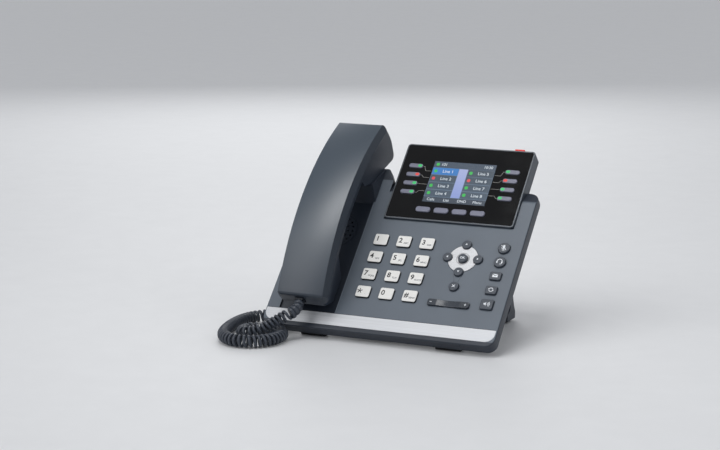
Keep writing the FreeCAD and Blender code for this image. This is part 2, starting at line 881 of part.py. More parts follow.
def hook_lever():
    """Arm on cross pins, with a nose that the handset's mouth end presses down."""
    nose_v = HOOK_V - HOOK_ARM
    nose_near = nose_v - HOOK_NOSE / 2
    nose_top = MOUTH_REST_H - HOOK_GAP
    left = HANDSET_U - HOOK_W / 2
    right = HANDSET_U + HOOK_W / 2
    arm = box(left, right, nose_near, HOOK_V, HOOK_H - HOOK_T / 2, HOOK_H + HOOK_T / 2)
    nose = box(left, right, nose_near, nose_near + HOOK_NOSE, HOOK_H, nose_top)
    upper = [edge for edge in nose.Edges if edge.BoundBox.ZMin > nose_top - HAIR]
    tips = [edge for edge in upper if edge.BoundBox.XLength > HOOK_W / 2]
    nose = nose.makeFillet(HOOK_NOSE_R, tips)
    hub = across(HOOK_V, HOOK_H, HOOK_HUB_R, left, right)
    pin_reach = LUG_GAP + LUG_T - PIN_END
    pin = across(HOOK_V, HOOK_H, PIN_R, left - pin_reach, right + pin_reach)
    return joined([arm, nose, hub, pin])


def trim_strip():
    return plate(trim_outline(0), TRIM_PROUD - TRIM_T, TRIM_PROUD)


def nav_plate():
    """Silver disc with a dished middle, cut out for the arrow keys and the middle key."""
    top = NAV_PLATE_T - NAV_PLATE_SET
    shape = disc(NAV_U, NAV_V, NAV_PLATE_R, -NAV_PLATE_SET, top)
    dish = Part.makeCone(OK_D / 2, NAV_DISH_R, NAV_DISH_DEPTH, V(NAV_U, NAV_V, top - NAV_DISH_DEPTH))
    holes = [plate(grown(key, KEY_GAP), -FAR, FAR) for key in nav_keys()[:5]]
    return shape.cut(Part.Compound([dish] + holes))


def volume_rocker():
    """Bar that tips about a pin under its middle, with a dished top between its two ends."""
    top = KEY_PROUD
    near = VOLUME_V - VOLUME_L / 2
    far = VOLUME_V + VOLUME_L / 2
    shape = plate(rect(NAV_U, VOLUME_V, VOLUME_W, VOLUME_L, VOLUME_R), -VOLUME_SET, top)
    dish_h = top - VOLUME_DISH_DEPTH + VOLUME_DISH
    shape = shape.cut(along(NAV_U, dish_h, VOLUME_DISH, near - VOLUME_L, far + VOLUME_L))
    rim = [edge for edge in shape.Edges if edge.BoundBox.ZMin > 0 and edge.BoundBox.ZLength < 1]
    shape = shape.makeFillet(VOLUME_EDGE_R, rim)
    half = VOLUME_STALK / 2
    stalk = box(NAV_U - half, NAV_U + half, near, far, volume_axis() - PIN_R, 0)
    pin_reach = LUG_GAP + LUG_T - PIN_END
    pin = along(NAV_U, volume_axis(), PIN_R, near - pin_reach, far + pin_reach)
    return joined([shape, stalk, pin])


# Rear cover, stand and feet


def bulge(inset, low, high):
    middle = (BULGE_LOW + BULGE_HIGH) / 2
    length = BULGE_HIGH - BULGE_LOW
    return plate(rect(0, middle, BULGE_W - 2 * inset, length - 2 * inset, BULGE_R - inset), low, high)


def board_posts():
    """Posts from the cover's floor up to the main board: u, v and the floor they stand on."""
    left = BOARD_LEFT + 2 * POST_R
    right = BOARD_RIGHT - 2 * POST_R
    low = BOARD_LOW + 2 * POST_R
    high = BOARD_HIGH - 2 * POST_R
    return [
        (left, low, COVER_FLOOR),
        (right, low, COVER_FLOOR),
        (right, high, COVER_FLOOR),
        (left, high, BULGE_FLOOR),
    ]


def display_posts():
    """Posts from the bulge's floor and the cover's floor up to the back of the display."""
    near = DISPLAY_V + DISPLAY_POST_IN
    far = BODY_TOP - DISPLAY_POST_IN
    left = DISPLAY_U - DISPLAY_W / 2 + DISPLAY_POST_IN
    right = DISPLAY_U + DISPLAY_W / 2 - DISPLAY_POST_IN
    return [
        (left, near, BULGE_FLOOR),
        (right, near, COVER_FLOOR),
        (left, far, COVER_FLOOR),
        (right, far, COVER_FLOOR),
    ]


def cover_shell():
    """Floor and side walls, the shelf behind the display's top and the bulge."""
    shell = plate(body_outline(), -BODY_DEPTH, -SEAM_DEPTH)
    rim = [edge for edge in shell.Edges if edge.BoundBox.ZMax < -BODY_DEPTH + HAIR]
    shell = shell.makeFillet(BACK_EDGE_R, rim)
    shell = shell.cut(inner_body(COVER_FLOOR, 0))
    shelf = plate(display_corners(0), -DISPLAY_DEPTH - WALL, -DISPLAY_DEPTH)
    shell = shell.fuse(shelf.common(box(-FAR, FAR, BODY_TOP - WALL, FAR, -FAR, FAR)))
    shell = shell.fuse(bulge(0, -BULGE_DEPTH, COVER_FLOOR))
    return shell.cut(bulge(WALL, BULGE_FLOOR, COVER_FLOOR + WALL))


def rear_cover():
    add = [disc(u, v, COVER_BOSS_R, -BODY_DEPTH, -BOSS_END) for u, v in screw_places()]
    add += [disc(u, v, POST_R, floor - POST_ROOT, BOARD_LOW_H) for u, v, floor in board_posts()]
    add += [disc(u, v, POST_R, floor - POST_ROOT, -DISPLAY_DEPTH) for u, v, floor in display_posts()]
    shell = cover_shell().multiFuse(add)
    half = DISPLAY_W / 2 + DISPLAY_GAP
    cuts = [box(DISPLAY_U - half, DISPLAY_U + half, DISPLAY_V - DISPLAY_GAP, FAR, -DISPLAY_DEPTH, FAR)]
    for u, v in screw_places():
        cuts.append(disc(u, v, SCREW_R + 2 * SCREW_FIT, -FAR, 0))
        cuts.append(disc(u, v, SCREW_HEAD_R + 4 * SCREW_FIT, -FAR, -BODY_DEPTH + SCREW_SET + SCREW_HEAD_T))
    for port in ports():
        left = port[0] - port[1] / 2 - PORT_SET
        right = port[0] + port[1] / 2 + PORT_SET
        far = BULGE_LOW + WALL + PORT_SET
        cuts.append(box(left, right, BULGE_LOW, far, PORT_LOW_H - PORT_SET, 0))
    cuts += [tongue(way, TONGUE_GAP) for way in (-1, 1)]
    return shell.cut(Part.Compound(cuts)).removeSplitter()


def tongue(way, gap):
    """Tongue of the stand, let into the bulge."""
    left = way * TONGUE_U - TONGUE_W / 2 - gap
    right = way * TONGUE_U + TONGUE_W / 2 + gap
    low = -BULGE_DEPTH - STAND_PLATE_T / 2
    return box(left, right, TONGUE_V - gap, TONGUE_V + TONGUE_L + gap, low, -BULGE_DEPTH + TONGUE_T + gap)


def stand_outline():
    """Side of the stand on the desk: a plate under the bulge, a leg and a foot."""
    low = to_desk(STAND_LOW_V, -BULGE_DEPTH)
    high = to_desk(STAND_HIGH_V, -BULGE_DEPTH)
    inner = to_desk(STAND_HIGH_V - STAND_LEG_T - STAND_SHOULDER, -BULGE_DEPTH - STAND_PLATE_T)
    under = to_desk(STAND_LOW_V, -BULGE_DEPTH - STAND_PLATE_T)
    front = STAND_REAR - STAND_FOOT_L
    foot_top = PAD_T + STAND_FOOT_T
    ankle = STAND_REAR - STAND_ANKLE_IN
    return [
        (low[0], low[1], STAND_EDGE_R),
        (high[0], high[1], STAND_EDGE_R),
        (high[0] + STAND_LEG_T, high[1] - STAND_LEG_T, STAND_SHOULDER_R),
        (ankle, foot_top + STAND_ANKLE_H, STAND_BEND_R),
        (STAND_REAR, foot_top, STAND_FOOT_R),
        (STAND_REAR, PAD_T, STAND_EDGE_R),
        (front, PAD_T, STAND_EDGE_R),
        (front, foot_top, STAND_FOOT_R),
        (ankle - STAND_LEG_T - STAND_FLARE, foot_top + STAND_INSTEP, STAND_BEND_R),
        (inner[0], inner[1], STAND_SHOULDER_R),
        (under[0], under[1], STAND_EDGE_R),
    ]


def foot_stand():
    shape = bar(stand_outline(), -STAND_W / 2, STAND_W / 2)
    half = STAND_WINDOW_W / 2
    near = to_desk(STAND_HIGH_V, -BULGE_DEPTH)[0] - 2 * STAND_LEG_T
    shape = shape.cut(box(-half, half, near, FAR, STAND_WINDOW_LOW + PAD_T, STAND_WINDOW_HIGH))
    for way in (-1, 1):
        shape = shape.fuse(tilted(tongue(way, 0)))
    return shape.removeSplitter()


def rubber_feet():
    """Two wedges under the front of the cover and two pads under the stand's foot."""
    near = to_desk(FRONT_FOOT_LOW, -BODY_DEPTH)
    far = to_desk(FRONT_FOOT_HIGH, -BODY_DEPTH)
    wedge = [
        (near[0], near[1], 0),
        (near[0], 0, FRONT_FOOT_R),
        (far[0], 0, FRONT_FOOT_R),
        (far[0], far[1], 0),
    ]
    pad_u = STAND_W / 2 - PAD_IN
    pad_y = STAND_REAR - STAND_FOOT_L / 2
    feet = []
    for way in (-1, 1):
        left = way * FRONT_FOOT_U - FRONT_FOOT_W / 2
        feet.append(bar(wedge, left, left + FRONT_FOOT_W))
        feet.append(plate(rect(way * pad_u, pad_y, PAD_W, STAND_FOOT_L - 2 * PAD_SIDE, PAD_R), 0, PAD_T))
    return Part.Compound(feet)


def housing_screws():
    screws = []
    head_low = -BODY_DEPTH + SCREW_SET
    head_top = head_low + SCREW_HEAD_T
    for u, v in screw_places():
        head = disc(u, v, SCREW_HEAD_R, head_low, head_top)
        slot = plate(rect(u, v, 2 * SCREW_HEAD_R, SCREW_SLOT), head_low, head_low + SCREW_SLOT_DEPTH)
        screws.append(joined([head.cut(slot), disc(u, v, SCREW_R, head_top, -SCREW_TIP)]))
    return Part.Compound(screws)


# Display


def display_corners(margin):
    width = DISPLAY_W - 2 * margin
    length = DISPLAY_L - 2 * margin
    return rect(DISPLAY_U, DISPLAY_MID_V, width, length, max(DISPLAY_R - margin, LEAST_R))


def lamp_box(gap):
    left = DISPLAY_U + LAMP_SHIFT - LAMP_W / 2 - gap
    right = DISPLAY_U + LAMP_SHIFT + LAMP_W / 2 + gap
    edge = DISPLAY_V + DISPLAY_L
    top = LENS_LOW - LENS_GAP
    return box(left, right, edge - LAMP_L - gap, edge + LAMP_PROUD, top - LAMP_T - gap, top + gap)


def display_frame():
    """Rim with a ledge for the lens, a middle plate behind the keys and a hollow back."""
    shape = plate(display_corners(0), -DISPLAY_DEPTH, DISPLAY_PROUD)
    rim = [edge for edge in shape.Edges if edge.BoundBox.ZMin > DISPLAY_PROUD - 0.01]
    shape = shape.makeFillet(RIM_R, rim)
    cuts = [
        plate(display_corners(RIM), LENS_LOW, FAR),
        plate(display_corners(RIM + LEDGE), MID_PLATE_TOP, FAR),
        plate(display_corners(FRAME_WALL), -FAR, MID_PLATE_LOW),
        lamp_box(LENS_GAP),
    ]
    return shape.cut(Part.Compound(cuts))


def display_lens():
    shape = plate(display_corners(RIM + LENS_GAP), LENS_LOW, LENS_TOP)
    cuts = [plate(grown(key, KEY_GAP), -FAR, FAR) for key in PILL_KEYS]
    window = rect(SCREEN_U, SCREEN_V, SCREEN_W + 2 * LENS_GAP, SCREEN_L + 2 * LENS_GAP)
    cuts.append(plate(window, -FAR, FAR))
    return shape.cut(Part.Compound(cuts))


def screen():
    border = 2 * SCREEN_BORDER
    case = plate(
        rect(SCREEN_U, SCREEN_V, SCREEN_W + border, SCREEN_L + border), MID_PLATE_TOP, LENS_LOW - LENS_GAP
    )
    glass = plate(rect(SCREEN_U, SCREEN_V, SCREEN_W, SCREEN_L), LENS_LOW - LENS_GAP, LENS_TOP - SCREEN_SET)
    return joined([case, glass])


# Boards


def key_mat():
    """Silicone sheet under the face keys, and one on the display's middle plate for its own keys."""
    u = (BOARD_LEFT + BOARD_RIGHT) / 2
    v = (BOARD_LOW + BOARD_HIGH) / 2
    width = BOARD_RIGHT - BOARD_LEFT - 2 * MAT_IN
    length = BOARD_HIGH - BOARD_LOW - 2 * MAT_IN
    sheet = plate(rect(u, v, width, length, MAT_R), BOARD_TOP, MAT_TOP)
    pill_sheet = plate(display_corners(RIM + LEDGE + MAT_HOLE), MID_PLATE_TOP, PILL_MAT_TOP)
    border = 2 * SCREEN_BORDER + 2 * MAT_HOLE
    hole = plate(rect(SCREEN_U, SCREEN_V, SCREEN_W + border, SCREEN_L + border), -FAR, FAR)
    return Part.Compound([sheet, pill_sheet.cut(hole)])


def main_board():
    field = box(BOARD_LEFT, BOARD_RIGHT, BOARD_LOW, BOARD_HIGH, BOARD_LOW_H, BOARD_TOP)
    near = BULGE_LOW + BOARD_ARM_IN
    left = CORD_PORT_U - BOARD_ARM_REACH
    arm = box(left, BOARD_LEFT, near, near + BOARD_ARM_W, BOARD_LOW_H, BOARD_TOP)
    return joined([field, arm])


def loudspeaker():
    magnet_top = TROUGH_UNDER - SPEAKER_T
    basket = disc(HANDSET_U, GRILLE_V, SPEAKER_R, magnet_top, TROUGH_UNDER)
    magnet = disc(HANDSET_U, GRILLE_V, MAGNET_R, magnet_top - MAGNET_T, magnet_top)
    return joined([basket, magnet])


def ports():
    """Sockets along the bulge: place across, width and depth, then the hole's width, height and depth."""
    cord = (CORD_PORT_W, CORD_PORT_DEPTH, CORD_HOLE_W, CORD_HOLE_H, CORD_HOLE_DEPTH)
    network = (NET_PORT_W, NET_PORT_DEPTH, NET_HOLE_W, NET_HOLE_H, NET_HOLE_DEPTH)
    return [
        (CORD_PORT_U,) + cord,
        (CORD_PORT_U + CORD_PORT_PITCH,) + cord,
        (NET_PORT_U,) + network,
        (NET_PORT_U + NET_PORT_PITCH,) + network,
    ]


def rear_sockets():
    """Sockets under the main board, each with a hole that faces the phone's front edge."""
    sockets = []
    near = BULGE_LOW + PORT_SET
    for u, width, depth, hole_w, hole_h, hole_depth in ports():
        case = box(u - width / 2, u + width / 2, near, near + depth, PORT_LOW_H, BOARD_LOW_H)
        hole_low = PORT_LOW_H + PORT_FLOOR
        hole = box(u - hole_w / 2, u + hole_w / 2, near - 1, near + hole_depth, hole_low, hole_low + hole_h)
        sockets.append(case.cut(hole))
    return Part.Compound(sockets)


# Handset


def handset_corners():
    """Side outline from the mouth end over the arch to the crown, and back along the inner side."""
    return [
        (HANDSET_LOW, MOUTH_H, CROWN_R),
        (ARCH_V, ARCH_H, ARCH_R),
        (CROWN_V, CROWN_H, CROWN_R),
        (HANDSET_TOP, TOP_H, TOP_R),
        (HEEL_V, HEEL_H, HEEL_R),
        (EAR_V, EAR_H, EAR_R),
        (NECK_V, NECK_H, NECK_R),
        (GRIP_BACK_V, GRIP_BACK_H, GRIP_BACK_R),
        (MOUTH_NECK_V, MOUTH_NECK_H, MOUTH_NECK_R),
        (MOUTH_BACK_V, MOUTH_REST_H, MOUTH_R),
        (MOUTH_FRONT_V, MOUTH_REST_H, MOUTH_R),
        (HANDSET_LOW, CHIN_H, CHIN_R),
    ]


def lowered(corners, drop):
    """The same side outline with its top face lower."""
    return [(v, h - drop if i < 3 else h, r) for i, (v, h, r) in enumerate(corners)]


def handset_wire(u, drop):
    wire = outline(lowered(handset_corners(), drop), side)
    wire.translate(V(u, 0, 0))
    return wire


def handset_body():
    """Arched bar whose long top edges slope down to its sides, rounded in plan at its ends."""
    outer = HANDSET_W / 2
    inner = HANDSET_FACE_W / 2
    wires = [
        handset_wire(HANDSET_U - outer, CHAMFER_DROP),
        handset_wire(HANDSET_U - inner, 0),
        handset_wire(HANDSET_U + inner, 0),
        handset_wire(HANDSET_U + outer, CHAMFER_DROP),
    ]
    shape = Part.makeLoft(wires, True, True)
    length = HANDSET_TOP - HANDSET_LOW
    middle = (HANDSET_TOP + HANDSET_LOW) / 2
    return shape.common(plate(rect(HANDSET_U, middle, HANDSET_W, length, HANDSET_END_R), -FAR, FAR))


def handset_room():
    wire = outline(handset_corners(), side).makeOffset2D(-HANDSET_WALL)
    half = HANDSET_W / 2 - WAIST_IN - HANDSET_WALL
    face = Part.Face(wire)
    face.translate(V(HANDSET_U - half, 0, 0))
    return face.extrude(V(2 * half, 0, 0))


def handset_split():
    """Everything above the seam that runs along the handset's sides."""
    rise = (ARCH_H - MOUTH_H) / (ARCH_V - HANDSET_LOW)
    fall = (ARCH_H - CROWN_H) / (CROWN_V - ARCH_V)
    reach = FAR / 2
    top = ARCH_H - HANDSET_SEAM
    corners = [
        (ARCH_V - reach, top - rise * reach, 0),
        (ARCH_V, top, ARCH_R),
        (ARCH_V + reach, top - fall * reach, 0),
        (ARCH_V + reach, FAR, 0),
        (ARCH_V - reach, FAR, 0),
    ]
    return bar(corners, -FAR, FAR)


def ear_face_spot(along_face, depth):
    """Point of the handset's side view: a share of the way up the ear face, and a depth inside it."""
    run = V(0, HEEL_V - EAR_V, HEEL_H - EAR_H)
    inward = V(0, EAR_H - HEEL_H, HEEL_V - EAR_V).normalize()
    return V(HANDSET_U, EAR_V, EAR_H) + run * along_face + inward * depth, inward


def handset_holes():
    """Sound holes in the ear face and the mouth end, and the socket's opening."""
    start, inward = ear_face_spot(0.5, -HOLE_SPARE)
    side_way = V(1, 0, 0)
    up_way = inward.cross(side_way)
    depth = HANDSET_WALL + 2 * HOLE_SPARE
    holes = [Part.makeCylinder(EAR_HOLE_R, depth, start, inward)]
    for i in range(6):
        turn = math.pi * i / 3
        spot = start + (side_way * math.cos(turn) + up_way * math.sin(turn)) * EAR_HOLE_RING
        holes.append(Part.makeCylinder(EAR_HOLE_R, depth, spot, inward))
    low = MOUTH_REST_H - HOLE_SPARE
    for i in (-1, 0, 1):
        holes.append(disc(HANDSET_U + MOUTH_HOLE_PITCH * i, MOUTH_MIC_V, MOUTH_HOLE_R, low, low + depth))
    half = CORD_HOLE_W / 2 + PORT_SET
    near = HANDSET_LOW - HOLE_SPARE
    holes.append(box(JACK_U - half, JACK_U + half, near, near + depth, JACK_H - half, JACK_H + half))
    return Part.Compound(holes)


def handset_waist():
    """What the sides lose below the band under their seam, from the mouth end up to the neck."""
    outer = HANDSET_W / 2
    low = HANDSET_LOW - HOLE_SPARE
    blocks = []
    for way in (-1, 1):
        ends = sorted((HANDSET_U + way * (outer - WAIST_IN), HANDSET_U + way * (outer + HOLE_SPARE)))
        blocks.append(box(ends[0], ends[1], low, NECK_V, -FAR, FAR))
    above = handset_split()
    above.translate(V(0, 0, -WAIST_BAND))
    return Part.Compound(blocks).cut(above)


def handset_shells():
    shell = handset_body().cut(handset_waist()).cut(handset_room()).cut(handset_holes())
    split = handset_split()
    return shell.common(split).removeSplitter(), shell.cut(split).removeSplitter()


def handset_capsules():
    """Receiver against the inside of the ear face and microphone in the mouth end."""
    spot, inward = ear_face_spot(0.5, HANDSET_WALL)
    receiver = Part.makeCylinder(RECEIVER_R, RECEIVER_T, spot, inward)
    floor = MOUTH_REST_H + HANDSET_WALL
    mic = disc(HANDSET_U, MOUTH_MIC_V, MOUTH_MIC_R, floor, floor + MOUTH_MIC_T)
    return Part.Compound([receiver, mic])


def handset_jack():
    near = HANDSET_LOW + HANDSET_WALL
    half = CORD_PORT_W / 2
    tall = JACK_CASE_H / 2
    case = box(JACK_U - half, JACK_U + half, near, near + CORD_PORT_DEPTH, JACK_H - tall, JACK_H + tall)
    hole = CORD_HOLE_W / 2
    far = near + CORD_HOLE_DEPTH
    return case.cut(box(JACK_U - hole, JACK_U + hole, near - HAIR, far, JACK_H - hole, JACK_H + hole))


def plug(u, face_v, h):
    """Cord plug pushed into a socket whose mouth lies at face_v."""
    half = PLUG_W / 2
    tall = PLUG_H / 2
    body = box(u - half, u + half, face_v - PLUG_OUT, face_v + PLUG_IN, h - tall, h + tall)
    nose = [edge for edge in body.Edges if edge.BoundBox.YLength > 1]
    return body.makeFillet(PLUG_R, nose)


def handset_plug_end():
    return V(JACK_U, HANDSET_LOW - PLUG_OUT, JACK_H)


def base_plug_end():
    return V(CORD_PORT_U, BULGE_LOW + PORT_SET - PLUG_OUT, BASE_PLUG_H)


# Curly cord


def desk_point(flat_point):
    y, z = to_desk(flat_point.y, flat_point.z)
    return V(flat_point.x, y, z)


def cord_curve():
    """Smooth curve through the route, straight where it leaves each plug."""
    down = V(0, -COS, -SIN)
    start = desk_point(handset_plug_end())
    end = desk_point(base_plug_end())
    poles = [start, start + down * (CORD_LEAD / 2), start + down * CORD_LEAD]
    poles += [V(*point) for point in CORD_ROUTE]
    poles += [end + down * CORD_LEAD, end + down * (CORD_LEAD / 2), end]
    curve = Part.BSplineCurve()
    count = len(poles)
    mults = [3] + [1] * (count - 3) + [3]
    curve.buildFromPolesMultsKnots(poles, mults, list(range(len(mults))), False, 2)
    return curve


def cord_stations():
    """Points along the route with a frame that doesn't twist, and the coil's angle and radius at each."""
    curve = cord_curve()
    first = curve.FirstParameter
    last = curve.LastParameter
    coil_r = (COIL_OD - WIRE_D) / 2
    total = curve.length()
    stations = []
    run = 0.0
    angle = 0.0
    radius = 0.0
    normal = V(1, 0, 0)
    for i in range(CORD_STEPS + 1):
        t = first + (last - first) * i / CORD_STEPS
        point = curve.value(t)
        d1 = curve.getDN(t, 1)
        d2 = curve.getDN(t, 2)
        bend = d1.cross(d2).Length / d1.Length ** 3
        tangent = d1.normalize()
        if stations:
            step = (point - stations[-1][0]).Length
            run += step
            inside = min(run - COIL_START, total - COIL_END_LEAD - run)
            pitch = max(COIL_PITCH, (WIRE_D + COIL_GAP) / max(1 - coil_r * bend, TIGHT_SHARE))
            if inside < TAPER_RUN:
                pitch = TAPER_PITCH
            if inside > 0:
                angle += 2 * math.pi * step / pitch
            ease = min(max(inside / TAPER_RUN, 0.0), 1.0)
            radius = coil_r * ease * ease * (3 - 2 * ease)
        normal = (normal - tangent * normal.dot(tangent)).normalize()
        stations.append((point, tangent, normal, run, angle, radius))
    return stations


def coil_point(stations, place):
    """Point of the wire's centre at a place between two stations, given as a decimal index."""
    i = min(int(place), len(stations) - 2)
    share = place - i
    a = stations[i]
    b = stations[i + 1]
    point = a[0] + (b[0] - a[0]) * share
    tangent = (a[1] + (b[1] - a[1]) * share).normalize()
    normal = a[2] + (b[2] - a[2]) * share
    normal = (normal - tangent * normal.dot(tangent)).normalize()
    angle = a[4] + (b[4] - a[4]) * share
    radius = a[5] + (b[5] - a[5]) * share
    return point + (normal * math.cos(angle) + tangent.cross(normal) * math.sin(angle)) * radius


def cord_places(stations):
    """Decimal station indices for the wire's points: quarter turns, and short steps on the leads."""
    places = [0.0]
    next_angle = math.pi / 2
    next_run = LEAD_STEP
    for i in range(1, len(stations)):
        run0, angle0 = stations[i - 1][3:5]
        run1, angle1 = stations[i][3:5]
        while angle1 > angle0 and next_angle <= angle1:
            places.append(i - 1 + (next_angle - angle0) / (angle1 - angle0))
            next_angle += math.pi / 2
            next_run = run1 + LEAD_STEP
        if angle1 == angle0 and next_run <= run1 and run1 < stations[-1][3] - LEAD_STEP:
            places.append(i - 1 + (next_run - run0) / (run1 - run0))
            next_run += LEAD_STEP
    places.append(len(stations) - 1.0)
    return places


def biarc(p0, t0, p1, t1):
    """Two arcs, or a line, that leave p0 along t0 and reach p1 along t1."""
    chord = p1 - p0
    along_t = t0 + t1
    a = 2 * (1 - t0.dot(t1))
    b = chord.dot(along_t)
    c = chord.dot(chord)
    if a < 1e-9:
        reach = c / (4 * chord.dot(t1))
    else:
        reach = (-b + math.sqrt(b * b + a * c)) / a
    q0 = p0 + t0 * reach
    q1 = p1 - t1 * reach
    joint = (q0 + q1) * 0.5
    edges = []
    least = FAR
    for start, corner, end in ((p0, q0, joint), (joint, q1, p1)):
        middle = (start + end) * 0.5
        height = (corner - middle).Length
        half = (end - start).Length / 2
        leg = math.hypot(height, half)
        if height < 1e-4:
            edges.append(Part.makeLine(start, end))
            continue
        radius = half * leg / height
        least = min(least, radius)
        centre = corner + (middle - corner).normalize() * (leg * leg / height)
        edges.append(Part.Arc(start, centre + (corner - centre).normalize() * radius, end).toShape())
    return edges, least


def self_gap(stations, places):
    """Least clear gap between parts of the wire that are more than half a turn apart."""
    points = []
    for first, last in zip(places, places[1:]):
        for share in (0.0, 0.25, 0.5, 0.75):
            points.append(coil_point(stations, first + (last - first) * share))
    apart = 10
    least = FAR
    cell = COIL_OD
    grid = {}
    for i, point in enumerate(points):
        grid.setdefault((int(point.x // cell), int(point.y // cell), int(point.z // cell)), []).append(i)
    for (a, b, c), members in grid.items():
        near = []
        for da in (-1, 0, 1):
            for db in (-1, 0, 1):
                for dc in (-1, 0, 1):
                    near += grid.get((a + da, b + db, c + dc), [])
        for i in members:
            for j in near:
                if j - i >= apart:
                    least = min(least, (points[i] - points[j]).Length)
    return least - WIRE_D


def handset_cord():
    """One unbroken tube: a straight lead, the curls and the lead to the base's socket."""
    stations = cord_stations()
    places = cord_places(stations)
    points = [coil_point(stations, place) for place in places]
    tangents = []
    for place in places:
        low = max(place - 0.05, 0)
        high = min(place + 0.05, len(stations) - 1)
        tangents.append((coil_point(stations, high) - coil_point(stations, low)).normalize())
    edges = []
    least_radius = FAR
    for i in range(len(points) - 1):
        arcs, radius = biarc(points[i], tangents[i], points[i + 1], tangents[i + 1])
        edges += arcs
        least_radius = min(least_radius, radius)
    length = sum(edge.Length for edge in edges)
    spine = Part.Wire(edges)
    ring = Part.Wire(Part.makeCircle(WIRE_D / 2, points[0], tangents[0]))
    sweep = Part.BRepOffsetAPI.MakePipeShell(spine)
    sweep.add(ring)
    sweep.build()
    sweep.makeSolid()
    turns = stations[-1][4] / (2 * math.pi)
    print("cord: wire length %.1f mm, route %.1f mm, curls %.1f" % (length, stations[-1][3], turns))
    print("cord: wire radius %.2f mm, coil radius %.2f mm" % (WIRE_D / 2, (COIL_OD - WIRE_D) / 2))
    gap = self_gap(stations, places)
    print("cord: least arc radius %.2f mm, least self gap %.2f mm" % (least_radius, gap))
    return sweep.shape()


def build():
    """All pieces by name, standing on the desk in front of the face's front edge."""
    outer_shell, inner_shell = handset_shells()
    lying = {
        "front_housing": front_housing(),
        "rear_cover": rear_cover(),
        "trim_strip": trim_strip(),
        "nav_plate": nav_plate(),
        "display_frame": display_frame(),
        "display_lens": display_lens(),
        "screen": screen(),
        "message_lamp": lamp_box(0),
        "main_board": main_board(),
        "key_mat": key_mat(),
        "loudspeaker": loudspeaker(),
        "rear_sockets": rear_sockets(),
        "cradle_tab": cradle_tab(),
        "hook_lever": hook_lever(),
        "housing_screws": housing_screws(),
        "volume_rocker": volume_rocker(),
        "handset_outer_shell": outer_shell,
        "handset_inner_shell": inner_shell,
        "handset_capsules": handset_capsules(),
        "handset_jack": handset_jack(),
        "handset_plug": plug(JACK_U, HANDSET_LOW, JACK_H),
        "base_plug": plug(CORD_PORT_U, BULGE_LOW + PORT_SET, BASE_PLUG_H),
    }
    for key in FACE_KEYS:
        lying[key[0]] = key_solid(key, -WALL, KEY_PROUD, STEM_LEN)
    for key in PILL_KEYS:
        lying[key[0]] = key_solid(key, LENS_LOW, LENS_TOP + PILL_PROUD, PILL_STEM)
    pieces = {name: tilted(shape) for name, shape in lying.items()}
    pieces["foot_stand"] = foot_stand()
    pieces["rubber_feet"] = rubber_feet()
    pieces["handset_cord"] = handset_cord()
    return pieces


CORD_PIECES = ("handset_cord", "handset_plug", "base_plug")


def centred(pieces):
    """Pieces moved so that the origin lies under the middle of the phone, without its cord."""
    fixed = [shape for name, shape in pieces.items() if name not in CORD_PIECES]
    bounds = Part.Compound(fixed).optimalBoundingBox(False, False)
    shift = V(-(bounds.XMin + bounds.XMax) / 2, -(bounds.YMin + bounds.YMax) / 2, -bounds.ZMin)
    print("shift of the face's front edge: %.4f %.4f %.4f" % (shift.x, shift.y, shift.z))
    moved = {}
    for name, shape in pieces.items():
        copy = shape.copy()
        copy.translate(shift)
        moved[name] = copy
    return moved


os.makedirs("parts", exist_ok=True)
for name, shape in centred(build()).items():
    shape.exportStep("parts/" + name + ".step")
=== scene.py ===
import bmesh
import bpy
import json
import math
from collections import namedtuple
from mathutils import Matrix, Vector
from mathutils.bvhtree import BVHTree
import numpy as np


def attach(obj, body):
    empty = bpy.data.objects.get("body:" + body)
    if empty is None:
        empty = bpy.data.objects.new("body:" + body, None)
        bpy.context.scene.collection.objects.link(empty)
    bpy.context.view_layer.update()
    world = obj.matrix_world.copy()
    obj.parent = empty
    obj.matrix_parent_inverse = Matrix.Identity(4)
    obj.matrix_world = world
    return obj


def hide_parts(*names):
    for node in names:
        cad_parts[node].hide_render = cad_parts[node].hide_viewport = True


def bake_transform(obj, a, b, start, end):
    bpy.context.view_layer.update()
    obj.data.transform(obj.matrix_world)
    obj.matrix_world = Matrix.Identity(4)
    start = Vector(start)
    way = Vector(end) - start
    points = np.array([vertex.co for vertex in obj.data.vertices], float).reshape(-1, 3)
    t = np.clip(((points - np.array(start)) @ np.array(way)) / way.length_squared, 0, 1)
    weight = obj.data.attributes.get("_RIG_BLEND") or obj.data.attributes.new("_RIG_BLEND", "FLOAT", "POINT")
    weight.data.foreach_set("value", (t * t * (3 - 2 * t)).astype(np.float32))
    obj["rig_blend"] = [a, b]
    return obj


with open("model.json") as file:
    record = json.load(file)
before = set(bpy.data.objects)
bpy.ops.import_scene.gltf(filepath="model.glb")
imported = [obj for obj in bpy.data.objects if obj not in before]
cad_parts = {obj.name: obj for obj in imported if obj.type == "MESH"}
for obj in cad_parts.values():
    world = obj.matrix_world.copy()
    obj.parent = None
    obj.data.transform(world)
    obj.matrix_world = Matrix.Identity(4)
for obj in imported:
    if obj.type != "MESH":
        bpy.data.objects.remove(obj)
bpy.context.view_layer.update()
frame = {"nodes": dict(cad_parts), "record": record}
scene = bpy.context.scene
scene.view_settings.view_transform = "Standard"
nodes = frame["nodes"]

# The face lies tilted: u runs across it to the right, v up it from its front edge and h out of it,
# all in millimetres, as the solids were drawn.
MM = 0.001
TILT = math.radians(45.7)
FRONT_EDGE = Vector((0.0, -69.3694, 10.0))
ACROSS = Vector((1.0, 0.0, 0.0))
UP_FACE = Vector((0.0, math.cos(TILT), math.sin(TILT)))
OUT = Vector((0.0, -math.sin(TILT), math.cos(TILT)))

